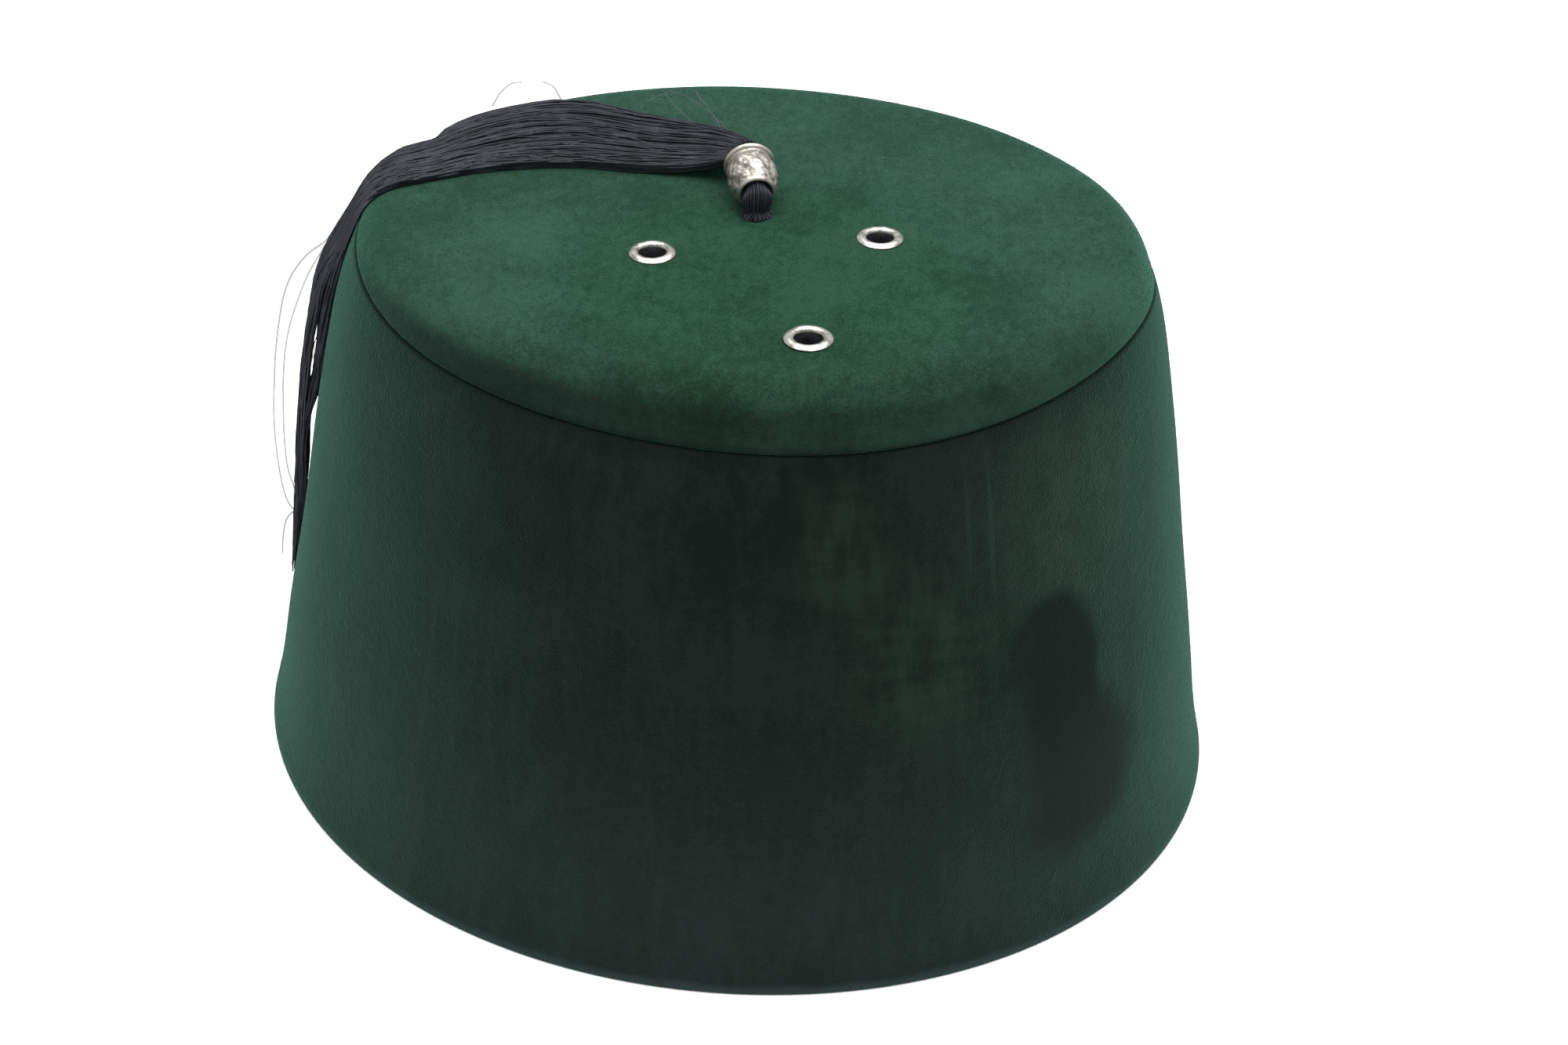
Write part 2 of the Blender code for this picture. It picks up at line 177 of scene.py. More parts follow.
class Paint:
    """A material being mixed: add() makes any node, the rest are its usual uses."""

    def __init__(self, name):
        self.material = bpy.data.materials.new(name)
        self.material.use_nodes = True
        self.tree = self.material.node_tree
        self.surface = self.tree.nodes["Principled BSDF"]
        self.place = self.add("ShaderNodeTexCoord").outputs["Object"]

    def add(self, kind, settings=None, inputs=None):
        made = self.tree.nodes.new(kind)
        for key, value in (settings or {}).items():
            setattr(made, key, value)
        for key, value in (inputs or {}).items():
            self.put(made.inputs[key], value)
        return made

    def put(self, socket, value):
        value = value.socket if isinstance(value, Value) else value
        if isinstance(value, bpy.types.NodeSocket):
            self.tree.links.new(value, socket)
        else:
            socket.default_value = value

    def set(self, **values):
        """Sockets of the Principled BSDF by name, with _ for a space."""
        for key, value in values.items():
            self.put(self.surface.inputs[key.replace("_", " ")], value)

    def noise(self, size, detail=2.0, rough=0.5, stretch=None):
        """Smooth noise from 0 to 1 whose lumps are about size millimetres."""
        at = self.place
        if stretch:
            at = self.add("ShaderNodeMapping", None, {0: at, 3: stretch}).outputs[0]
        made = self.add("ShaderNodeTexNoise", None, {
            "Vector": at, "Scale": 1 / (size * MM), "Detail": detail, "Roughness": rough})
        return Value(self, made.outputs["Fac"])

    def attribute(self, name):
        """A number that the mesh keeps for each vertex."""
        made = self.add("ShaderNodeAttribute", {"attribute_name": name})
        return Value(self, made.outputs["Fac"])

    def axes(self, vector=None):
        """The x, y and z of a vector, or of the place on the object in metres."""
        made = self.add("ShaderNodeSeparateXYZ", None, {0: vector or self.place})
        return [Value(self, out) for out in made.outputs]

    def step(self, value, low, high):
        """0 under low, 1 over high, smooth between: the usual way to make a mask."""
        made = self.add("ShaderNodeMapRange", {"interpolation_type": "SMOOTHSTEP"},
                        {0: value, 1: low, 2: high})
        return Value(self, made.outputs[0])

    def mix(self, low, high, share):
        """From colour low to colour high."""
        made = self.add("ShaderNodeMix", {"data_type": "RGBA"}, {0: share, 6: low, 7: high})
        return Value(self, made.outputs[2])

    def bump(self, height, depth, strength):
        """Raise the surface by height, where 1 is depth millimetres."""
        made = self.add("ShaderNodeBump", None, {
            "Height": height, "Distance": depth * MM, "Strength": strength})
        self.put(self.surface.inputs["Normal"], made.outputs[0])


paint = Paint("floor_white")
paint.set(Base_Color=(*FLOOR_COLOUR, 1), Roughness=0.9)
floor.data.materials.append(paint.material)

# %% [markdown]
# ## The shape of the crown
#
# A felt crown is steamed on an oval block, so every level cut through it is an
# oval, and two half sizes say all about it. The table gives them by height. The
# rows are joined by a smooth curve that never overshoots, since felt pulled over a
# block has no ripples. Above the last row the wall rolls over into the flat top.

# %% The ovals of the wall
TALL, FELT = 115.97, 2.5                   # height of the hat, thickness of the felt
CORNER_LONG, CORNER_WIDE = 72.64, 60.54    # half sizes of the top, were its edge sharp
ROUND = 4.97                               # size of the rolled edge
LEAN_X, LEAN_Y = 0.0197, -0.0006           # how far the top leans, as a slope
WALL = (
    # height, half long, half wide
    (0.0, 100.00, 87.57),
    (3.0, 99.19, 86.77),
    (8.0, 97.92, 85.51),
    (15.0, 96.44, 84.05),
    (24.0, 94.76, 82.40),
    (35.0, 92.56, 80.23),
    (46.0, 90.29, 78.00),
    (58.0, 87.96, 75.69),
    (70.0, 85.68, 73.45),
    (80.0, 83.72, 71.52),
    (90.0, 81.60, 69.42),
    (98.0, 79.64, 67.49),
    (104.0, 77.76, 65.63),
    (111.0, 74.92, 62.80),
)
TANGENT = TALL - ROUND       # here the wall begins to roll over


def curve(rows, at, column):
    """A smooth value between the rows of a table, without overshoot."""
    x, y = [r[0] for r in rows], [r[column] for r in rows]
    i = min(max(int(np.searchsorted(x, at)) - 1, 0), len(x) - 2)

    def slope(k):
        if k in (0, len(x) - 1):
            j = 0 if k == 0 else len(x) - 2
            return (y[j + 1] - y[j]) / (x[j + 1] - x[j])
        before = (y[k] - y[k - 1]) / (x[k] - x[k - 1])
        after = (y[k + 1] - y[k]) / (x[k + 1] - x[k])
        return 0.0 if before * after <= 0 else 2 * before * after / (before + after)

    d = x[i + 1] - x[i]
    t = (at - x[i]) / d
    return ((2 * t**3 - 3 * t**2 + 1) * y[i] + (t**3 - 2 * t**2 + t) * d * slope(i)
            + (3 * t**2 - 2 * t**3) * y[i + 1] + (t**3 - t**2) * d * slope(i + 1))


def rolled(share, inset=0.0):
    """Half sizes and height on the rolled edge: 0 where it leaves the wall, 1 on the flat."""
    long0, wide0 = (curve(WALL, TANGENT, k) for k in (1, 2))
    long1, wide1 = (curve(WALL, TANGENT - 0.5, k) for k in (1, 2))
    low = np.array((long0 - inset, wide0 - inset, TANGENT))
    corner = np.array((long0 + (long0 - long1) * 2 * ROUND - inset,
                       wide0 + (wide0 - wide1) * 2 * ROUND - inset, TALL - inset))
    end = np.array((CORNER_LONG - ROUND, CORNER_WIDE - ROUND, TALL - inset))
    return (1 - share)**2 * low + 2 * (1 - share) * share * corner + share**2 * end


def skin(height, inset=0.0):
    """Half sizes and height of the felt's face at one height."""
    if height <= TANGENT:
        return curve(WALL, height, 1) - inset, curve(WALL, height, 2) - inset, height
    share = 1 - sqrt(max(TALL - inset - height, 0) / (TALL - inset - TANGENT))
    return tuple(rolled(share, inset))


def leaned(x, y, z):
    """Millimetres to metres, with the small lean of the top, which fades to none below."""
    return Vector((x, y, z + (LEAN_X * x + LEAN_Y * y) * min(max(z / TALL, 0), 1))) * MM


def on_oval(level, angle):
    long, wide, height = level
    return leaned(long * cos(angle), wide * sin(angle), height)


print("opening", [2 * (s - FELT) for s in skin(0)[:2]], "top", [2 * s for s in rolled(1)[:2]])

# %% [markdown]
# ## The side wall
#
# The wall is one closed ring of felt: up the outside, over a soft lip at the seam,
# down the inside and round the cut edge that the hat stands on. It could be an open
# surface with Solidify, but the two lips differ. So a plain circle is extruded
# upwards once for each ring of the section, which gives a tube with its column in
# x, y and its ring number in z, and then every vertex is put where its ring and its
# angle say. The seam runs in slow waves, as a hand-sewn one does.

# %% The seam, and a tube whose rings can be placed
AROUND = 288         # faces in a ring
GAP = 0.3            # between two pieces that touch
LIP = 0.55           # radius of the two soft lips at the seam
RIM = 0.6            # radius of the worn edges of the cut rim
WAVES_FROM = 90.0    # below this the rings are level
SEAM_DEPTH = 8.23    # of the middle of the seam, under the top
SEAM_WAVES = (
    # waves, cosine, sine
    (1, 1.96, -0.64),
    (2, -1.63, 0.15),
    (3, 0.25, 0.68),
    (4, -0.62, 0.49),
)


def seam(angle):
    """Height of the seam, from the depth under the top and its waves."""
    return TALL - SEAM_DEPTH - sum(c * cos(k * angle) + s * sin(k * angle)
                                   for k, c, s in SEAM_WAVES)


def placed_tube(rows):
    """A tube with one ring for each row; a row gives the oval's level for an angle."""
    bm = bmesh.new()
    bmesh.ops.create_circle(bm, segments=AROUND, radius=1)
    ring = bm.edges[:]
    for _ in rows[1:]:
        grown = bmesh.ops.extrude_edge_only(bm, edges=ring)["geom"]
        verts = {g for g in grown if isinstance(g, bmesh.types.BMVert)}
        ring = [g for g in grown
                if isinstance(g, bmesh.types.BMEdge) and all(v in verts for v in g.verts)]
        bmesh.ops.translate(bm, verts=list(verts), vec=(0, 0, 1))
    for v in bm.verts:
        angle = atan2(v.co.y, v.co.x)
        v.co = on_oval(rows[round(v.co.z)](angle), angle)
    return bm


def closed(bm):
    """Join the last ring to the first, close the poles and point the faces outwards."""
    ends = [e for e in bm.edges if e.is_boundary]
    if ends:
        bmesh.ops.bridge_loops(bm, edges=ends)
    bmesh.ops.remove_doubles(bm, verts=bm.verts, dist=0.002 * MM)
    bmesh.ops.recalc_face_normals(bm, faces=bm.faces)
    return bm


# %% Build the wall
def level(height, inset=0.0):
    return lambda angle: skin(height, inset)


def below_seam(share, inset=0.0, drop=GAP / 2 + LIP):
    """A ring that takes on the seam's waves: level at share 0, along the lip at 1."""
    return lambda angle: skin(
        WAVES_FROM + share * (seam(angle) - drop - WAVES_FROM), inset)


corner = [radians(a) for a in (0, 22, 45, 68, 90)]    # steps round a quarter circle
# up the outside from the cut rim, over the lip at the seam, and down the inside
wall_rows = [level(RIM * (1 - cos(t)), RIM * (1 - sin(t))) for t in corner]
wall_rows += [level(h) for h in np.linspace(2, WAVES_FROM, 48)]
wall_rows += [below_seam(s) for s in np.linspace(0.1, 1, 10)]
wall_rows += [below_seam(1, LIP * (1 - cos(t)), GAP / 2 + LIP * (1 - sin(t))) for t in corner[1:]]
wall_rows += [below_seam(1, FELT, GAP / 2), below_seam(0.6, FELT)]
wall_rows += [level(h, FELT) for h in np.linspace(WAVES_FROM, 4, 14)]
wall_rows += [level(RIM * (1 - sin(t)), FELT - RIM * (1 - cos(t))) for t in corner]
felt_wall = piece("felt_wall", closed(placed_tube(wall_rows)))

# %% [markdown]
# ## The top
#
# The top is a second piece of felt, blocked like a shallow lid. It starts at the
# same seam, rolls over into the flat and closes in the middle. The four holes, one
# for each eyelet and one for the tassel, are cut with round cutters and a Boolean,
# as they are punched out of the real felt.

# %% Build the lid and punch it
EYELETS = (
    # name, x, y
    ("eyelet_left", -14.86, -18.72),
    ("eyelet_right", 24.97, -4.85),
    ("eyelet_front", 17.90, -43.48),
)
EYELET_HOLE = 3.1                         # radius in the felt
HOLE, HOLE_RADIUS = (1.00, -0.05), 2.1    # where the tassel's cord comes through


def brow(share, inset=0.0):
    """A ring between the seam's lip (share 0) and the flat (share 1)."""
    def row(angle):
        height = seam(angle) + GAP / 2 + LIP
        if height < TANGENT:
            first = (height - TANGENT) / ROUND / 2
        else:
            first = 1 - sqrt(max(TALL - inset - height, 0) / (TALL - inset - TANGENT))
        at = first + (1 - first) * share
        return skin(TANGENT + at * ROUND * 2, inset) if at < 0 else rolled(at, inset)
    return row


def flat(share, drop=0.0):
    """A ring on the flat, from the rolled edge (share 1) to the middle (share 0)."""
    long, wide, height = rolled(1)
    return lambda angle: (long * share, wide * share, height - drop)


def above_seam(inset, rise):
    return lambda angle: skin(seam(angle) + rise, inset)


# from the lip over the roll to the middle, and back along the inside
lid_rows = [above_seam(LIP * (1 - cos(t)), GAP / 2 + LIP * (1 - sin(t))) for t in corner[:0:-1]]
lid_rows += [brow(s) for s in np.linspace(0, 1, 16)]
lid_rows += [flat(s) for s in np.linspace(0.97, 0, 30)]
lid_rows += [flat(s, FELT) for s in np.linspace(0, 0.95, 12)]
lid_rows += [brow(s, FELT) for s in np.linspace(1, 0, 8)]
lid_rows += [above_seam(FELT, GAP / 2)]
felt_top = piece("felt_top", closed(placed_tube(lid_rows)))

bm = bmesh.new()
for x, y, radius in [(x, y, EYELET_HOLE) for _, x, y in EYELETS] + [(*HOLE, HOLE_RADIUS)]:
    bmesh.ops.create_cone(bm, cap_ends=True, segments=40, radius1=radius * MM,
                          radius2=radius * MM, depth=20 * MM,
                          matrix=Matrix.Translation(leaned(x, y, TALL)))
punch = piece("punch", bm, smooth=False)
cut = felt_top.modifiers.new("punch", "BOOLEAN")
cut.object, cut.solver = punch, "EXACT"
punched = mesh_of(felt_top)
felt_top.modifiers.clear()
felt_top.data = punched
bpy.data.objects.remove(punch)

# %% [markdown]
# The punched felt gives a little: it is pressed up against each eyelet's flange and
# drawn down where the cord goes through. The flat is not dead level either. A few
# soft pushes on the vertices say this better than more geometry.

# %% Soften the felt by hand
PRESS, PRESS_AT, PRESS_WIDE = 0.22, 4.0, 1.1    # the felt against a flange
DRAWN, DRAWN_WIDE = 0.55, 3.6                   # round the tassel's cord
SWELL, SWELL_SIZE = 0.22, 26.0                  # slow unevenness of hand-blocked felt
SWELL_FROM = 8.0                                # it grows from the rim up to this height
FLAT_ABOVE = TALL - FELT / 2 - 1.6              # the lid is only moved above this

for v in felt_top.data.vertices:
    x, y, z = v.co / MM
    if z < FLAT_ABOVE:
        continue
    lift = sum(PRESS * exp(-((hypot(x - ex, y - ey) - PRESS_AT) / PRESS_WIDE)**2)
               for _, ex, ey in EYELETS)
    lift -= DRAWN * exp(-(hypot(x - HOLE[0], y - HOLE[1]) / DRAWN_WIDE)**2)
    lift += SWELL * noise.noise(Vector((x, y, 0)) / SWELL_SIZE)
    v.co.z += lift * MM
for v in felt_wall.data.vertices:
    out = Vector((v.co.x, v.co.y, 0)).normalized()
    grown = min(v.co.z / MM / SWELL_FROM, 1)
    v.co += out * SWELL * MM * noise.noise(v.co / MM / SWELL_SIZE) * grown
print("top", len(felt_top.data.polygons), "faces after punching")

# %% [markdown]
# ## The seam's stitches
#
# The lid is whipped to the wall with green thread. The stitches lie deep in the
# groove and only close it, so each is a small capsule laid across it on the slant.

# %% Sew the seam
STITCHES = 190
STITCH_LONG, STITCH_THICK, STITCH_DEEP, STITCH_SLANT = 1.5, 0.22, 0.95, 38

bm = bmesh.new()
for k in range(STITCHES):
    angle = 2 * pi * k / STITCHES
    here = on_oval(skin(seam(angle), STITCH_DEEP), angle)
    ahead = on_oval(skin(seam(angle + 0.01), STITCH_DEEP), angle + 0.01) - here
    turn = ahead.to_track_quat("X", "Z").to_matrix().to_4x4()
    shape = Matrix.Diagonal((STITCH_LONG / 2 * MM, STITCH_THICK * MM, STITCH_THICK * MM, 1))
    bmesh.ops.create_uvsphere(bm, u_segments=8, v_segments=5, radius=1, matrix=(
        Matrix.Translation(here) @ turn @ Matrix.Rotation(radians(STITCH_SLANT), 4, "Y")
        @ shape))
stitches = piece("seam_stitches", bm)

# %% [markdown]
# ## The eyelets
#
# An eyelet is turned sheet metal: a domed flange outside, a bore, and a rolled edge
# inside. Its section is drawn once as a loop of points, rounded by a smooth curve
# through them and spun round its axis.


# %% Spin a section round an axis
def smooth_path(points, steps, loop=False):
    """A smooth curve through the points, with a number of steps from each to the next."""
    points = [np.array(p, float) for p in points]
    count = len(points)
    out = []
    for i in range(count if loop else count - 1):
        near = (i - 1, i, i + 1, i + 2)
        a, b, c, d = (points[k % count if loop else min(max(k, 0), count - 1)] for k in near)
        for s in range(steps):
            t = s / steps
            out.append(0.5 * (2 * b + (c - a) * t + (2 * a - 5 * b + 4 * c - d) * t * t
                              + (3 * b - a - 3 * c + d) * t**3))
    return out if loop else out + [points[-1]]


def turned(section, flats):
    """A section of (radius, height) in millimetres spun once round Z."""
    bm = bmesh.new()
    verts = [bm.verts.new((radius * MM, 0, height * MM)) for radius, height in section]
    edges = [bm.edges.new(pair) for pair in zip(verts, verts[1:] + verts[:1])]
    bmesh.ops.spin(bm, geom=verts + edges, cent=(0, 0, 0), axis=(0, 0, 1), dvec=(0, 0, 0),
                   angle=2 * pi, steps=flats, use_merge=True, use_normal_flip=False,
                   use_duplicate=False)
    bmesh.ops.recalc_face_normals(bm, faces=bm.faces)
    return bm


EYELET_SECTION = (
    # radius, height over the felt
    (2.34, -3.20), (2.34, -1.60), (2.38, -0.20), (2.54, 0.45), (2.90, 0.80), (3.34, 0.88),
    (3.84, 0.74), (4.22, 0.48), (4.36, 0.32), (4.10, 0.27), (3.00, 0.30), (2.80, 0.10),
    (2.80, -2.70), (3.50, -2.85), (3.90, -2.95), (3.85, -3.35), (3.20, -3.60),
    (2.55, -3.50),
)
tipped = Vector((-LEAN_X, -LEAN_Y, 1)).to_track_quat("Z", "Y").to_matrix().to_4x4()
eyelets = []
for name, x, y in EYELETS:
    bm = turned(smooth_path(EYELET_SECTION, 4, loop=True), 72)
    bmesh.ops.transform(bm, matrix=Matrix.Translation(leaned(x, y, TALL)) @ tipped,
                        verts=bm.verts)
    eyelets.append(piece(name.replace("eyelet", "ring"), bm))

# %% [markdown]
# ## The bead
#
# The barrel bead is cast and then darkened, so it has a raised ring at the tassel's
# end, a rolled mouth and a belly of leaves in relief. The barrel is spun like the
# eyelets. Then each vertex on the belly is pushed out by the height of the pattern
# there, and that height is kept as an attribute, so that the finish can be dark in
# the hollows and bright on the leaves.

# %% Spin the bead and raise its leaves
BEAD_MIDDLE, BEAD_AXIS = (-0.90, 5.10, 5.13), (-0.339, 0.917, 0.209)
BEAD_SECTION = (
    # radius, along the axis: round the ring, down the belly, into the mouth
    (2.95, 0.50), (3.00, 3.20), (3.22, 4.50), (3.80, 4.72), (4.50, 4.66), (4.84, 4.25),
    (4.66, 3.76), (4.26, 3.52), (4.24, 3.20), (4.50, 2.30), (4.66, 1.20), (4.70, 0.10),
    (4.62, -1.10), (4.42, -2.30), (4.08, -3.30), (3.72, -4.10), (3.42, -4.58),
    (3.08, -4.70), (2.88, -4.45), (2.86, -3.20), (2.92, -1.20),
)
RING_SHINE, RING_TARNISH = 0.62, 0.3    # how worn the ring and the mouth are
LEAVES, LEAF_HIGH = 7, 0.20
LEAF_FROM, LEAF_LONG = -4.0, 6.8        # along the bead, from the mouth to under the ring
LEAF_LEAN = 0.16                        # radians round the bead for each millimetre along
LEAF_HALF, LEAF_SOFT = 0.46, 0.10       # half width and soft edge, as shares of its field
RIB, RIB_HALF, VEIN = 0.35, 0.05, 0.22  # the raised middle and the veins on both sides
DENT_SIZE, DENT_DEEP = 1.1, 0.26        # the beaten hollows

x, y, z = BEAD_MIDDLE
bead_way = Vector(BEAD_AXIS) + Vector((0, 0, LEAN_X * BEAD_AXIS[0]))
bead_frame = (Matrix.Translation(leaned(x, y, TALL + z))
              @ bead_way.to_track_quat("Z", "Y").to_matrix().to_4x4())


def ramp(value, low, high):
    """0 under low, 1 over high, straight between."""
    return min(max((value - low) / (high - low), 0), 1)


def leaf(angle, along):
    """Height of the relief: pointed leaves that lean over, each with a rib and veins."""
    across = ((angle + along * LEAF_LEAN) * LEAVES / (2 * pi)) % 1 - 0.5
    tall = ramp(along, LEAF_FROM, LEAF_FROM + LEAF_LONG)
    half = LEAF_HALF * sin(pi * tall)**0.7
    if half < 0.02:
        return 0.0
    rib = exp(-(across / RIB_HALF)**2) * RIB
    vein = VEIN * sin(along * 5.2 + abs(across) * 16)
    return ramp(half - abs(across), 0, LEAF_SOFT) * (0.75 + vein + rib)


bm = turned(smooth_path(BEAD_SECTION, 5, loop=True), 140)
relief = bm.verts.layers.float.new("relief")
bm.normal_update()
for v in bm.verts:
    x, y, along = v.co / MM
    radius, angle = hypot(x, y), atan2(y, x)
    belly = ramp(radius, 3.5, 3.8) * (1 - ramp(along, 3.0, 3.3)) * ramp(along, -4.2, -3.8)
    spot = Vector((x, y, along)) / DENT_SIZE
    beaten = noise.noise(spot) + 0.5 * noise.noise(spot * 2.3)
    high = belly * (LEAF_HIGH * (leaf(angle, along) - 0.6) + DENT_DEEP * beaten)
    v[relief] = 0.5 + high if belly > 0 else RING_SHINE + RING_TARNISH * beaten
    v.co += v.normal * high * MM * 0.75
bmesh.ops.transform(bm, matrix=bead_frame, verts=bm.verts)
bead = piece("barrel_bead", bm)

# %% [markdown]
# ## The tassel's course
#
# The tassel has more than sixteen hundred silk threads. They come up through the hole
# as a tight cord, turn into the bead, spread flat over the top in nine locks, bend
# over the rim and hang down the back to uneven tips. All threads follow one course,
# so the course is written once: a table of places, each with the section of the
# whole bundle there. A thread then only needs its own place in that section, which
# is u across the bundle and w through it, both from 0 to 1.

# %% Sections of the bundle: cord, bead, fan, rim and tail
CORD = (
    # ahead of the hole along the bead, over the top, pitch, half wide, half thick
    (0.00, -3.40, 0, 1.60, 1.30),
    (0.00, -1.00, 0, 1.80, 1.60),
    (0.55, 0.30, 0, 2.30, 1.35),
    (0.40, 1.50, 10, 2.50, 1.60),
    (0.00, 2.70, 30, 2.70, 1.85),
    (-0.10, 3.90, 58, 2.70, 2.20),
)
FAN = (
    # front x, front y, back x, back y, over the felt, thick, roundness, falling off
    (-5.60, 10.20, -0.90, 13.60, 4.00, 5.30, 0.95, 0.0),
    (-8.20, 11.90, -4.40, 19.60, 2.00, 5.90, 0.70, 0.0),
    (-12.40, 12.70, -10.80, 26.20, 0.80, 6.10, 0.40, 0.0),
    (-19.00, 12.60, -18.60, 30.00, 0.30, 5.80, 0.15, 0.0),
    (-27.00, 12.20, -28.20, 33.20, 0.30, 5.40, 0.00, 0.0),
    (-35.50, 12.20, -38.60, 37.40, 0.30, 5.10, 0.00, 0.0),
    (-43.50, 10.40, -47.60, 37.20, 0.30, 4.80, 0.00, 0.0),
    (-50.50, 8.00, -55.40, 33.20, 0.30, 4.40, 0.00, 0.05),
    (-56.80, 4.80, -61.80, 28.00, 0.30, 3.80, 0.00, 0.10),
    (-62.60, 1.00, -65.80, 21.20, 0.30, 3.00, 0.00, 0.05),
)
OVER_RIM = (
    # share of the rolled edge (or height if over 2), front, back, thick, falling off
    (1.00, 182.6, 162.9, 3.30, 0.00),
    (0.62, 185.4, 166.0, 3.10, 0.00),
    (0.30, 187.2, 168.2, 2.80, 0.00),
    (0.00, 188.4, 169.6, 2.70, 0.00),
    (105.50, 189.4, 171.0, 3.90, 0.15),
)
TAIL = (
    # height, outer layer's middle and half thickness off the felt, inner layer's
    (105.5, 2.60, 1.30, 1.50, 1.25),
    (100.0, 3.25, 1.15, 1.10, 1.45),
    (94.0, 3.45, 0.95, 0.85, 1.35),
    (87.0, 3.50, 0.90, 0.85, 1.25),
    (82.0, 3.50, 0.75, 0.80, 1.00),
    (76.0, 3.40, 0.70, 0.85, 0.80),
    (72.0, 3.25, 0.70, 0.95, 0.75),
    (65.0, 2.90, 0.75, 1.75, 0.50),
    (59.0, 2.55, 0.75, 1.75, 0.50),
    (53.0, 2.20, 0.65, 1.05, 0.45),
    (47.0, 1.85, 0.65, 0.80, 0.45),
    (40.0, 1.35, 0.80, 0.80, 0.55),
    (34.0, 0.95, 0.55, 0.85, 0.45),
    (25.0, 0.55, 0.25, 0.55, 0.25),
)
TAIL_UP = [tuple(-v for v in row) for row in TAIL]     # the same, with rising heights
IN_BEAD, BORE_FILLED = (-4.7, 0.0, 4.9), 2.4     # places along the bead, and their radius
TIPS = (26.0, 45.0, 33.0, 42.0, 36.0, 46.0, 38.0, 43.0, 41.0)    # heights, front to back
LOCKS = len(TIPS)
RELIEF, EDGE = 0.10, 0.14             # valleys between locks; the bundle's edge, as shares
TAIL_PLACES = 19                      # places down a thread's tail
SETTLES = 8                           # the bend over the rim fades out in this many mm
HANGS_FREE, FLAT_FROM = 0.44, 192.8   # this share of the tail hangs flat, not round the wall
FLAT_BEGINS, FLAT_ENDS, FLAT_LEAST = 12, (34, 48), 0.25    # mm down, heights, share
CLINGS, CLING = (46, 54, 86, 98), 0.55    # at these heights the rest is nearer to the felt
GATHERS = 0.16                        # the tail is this much narrower at the ground
DRIFTS = ((26, 1.3, 0), (9, 0.35, 4))     # sideways waves: their length, size and seed
STANDS_OUT, STANDS_SIZE = 0.45, 11    # waves away from the wall: their size and length


def unit(v):
    v = np.asarray(v, float)
    return v / np.linalg.norm(v)


def on_shell(angle, level):
    """A place on the felt and its outward direction; level 0..1 is on the rolled edge."""
    def oval(at):
        long, wide, height = rolled(at) if level <= 2 else skin(at)
        return np.array((long * cos(angle), wide * sin(angle), height))
    step = -0.01 if level == 1 else 0.01
    here, along = oval(level), (oval(level + step) - oval(level)) * np.sign(step)
    long, wide, _ = rolled(level) if level <= 2 else skin(level)
    return here, unit(np.cross((-long * sin(angle), wide * cos(angle), 0), along))


def in_round(u, w):
    """Where thread (u, w) lies in a round bundle: across and through it, -1 to 1."""
    turn = pi * (0.04 + 0.92 * u)
    return -cos(turn), (2 * w - 1) * sin(turn)


def section(u, w, thick, roundness, falling):
    """Where thread (u, w) lies in the fan: share across it, and height over the felt."""
    lens = EDGE + (1 - EDGE) * sqrt(max(1 - abs(2 * u - 1)**2.4, 0))
    valley = 1 - RELIEF * (1 - abs(sin(pi * LOCKS * u)))
    level = lens * valley * (1 - falling * u) * w
    p, q = in_round(u, w)
    across = (1 - roundness) * u + roundness * (1 + p) / 2
    return across, thick * ((1 - roundness) * level + roundness * (1 + q) / 2)


AXIS = unit(BEAD_AXIS)
AHEAD, ACROSS = unit((AXIS[0], AXIS[1], 0)), unit((AXIS[1], -AXIS[0], 0))
UP = np.array((0.0, 0.0, 1.0))
FOOT = np.array((*HOLE, TALL))
BEAD_AT = np.array(BEAD_MIDDLE) + UP * TALL


def in_cord(u, w):
    """The thread's places from the hole to the bead's far end."""
    p, q = in_round(u, w)
    places = []
    for ahead, over, pitch, wide, thick in CORD:
        t = radians(pitch)
        places.append(FOOT + AHEAD * ahead + UP * over + ACROSS * p * wide
                      + (UP * sin(t) - AHEAD * cos(t)) * q * thick)
    up = unit(np.cross(ACROSS, AXIS))
    for along in IN_BEAD:
        places.append(BEAD_AT + AXIS * along + (ACROSS * p + up * q) * BORE_FILLED)
    return places


def in_fan(row, u, w):
    fx, fy, bx, by, over, thick, roundness, falling = row
    across, height = section(u, w, thick, roundness, falling)
    return np.array((fx + (bx - fx) * across, fy + (by - fy) * across,
                     TALL + over + height))


def on_rim(row, u, w):
    level, front, back, thick, falling = row
    here, out = on_shell(radians(front + (back - front) * u), level)
    return here + out * (GAP + section(u, w, thick, 0, falling)[1])


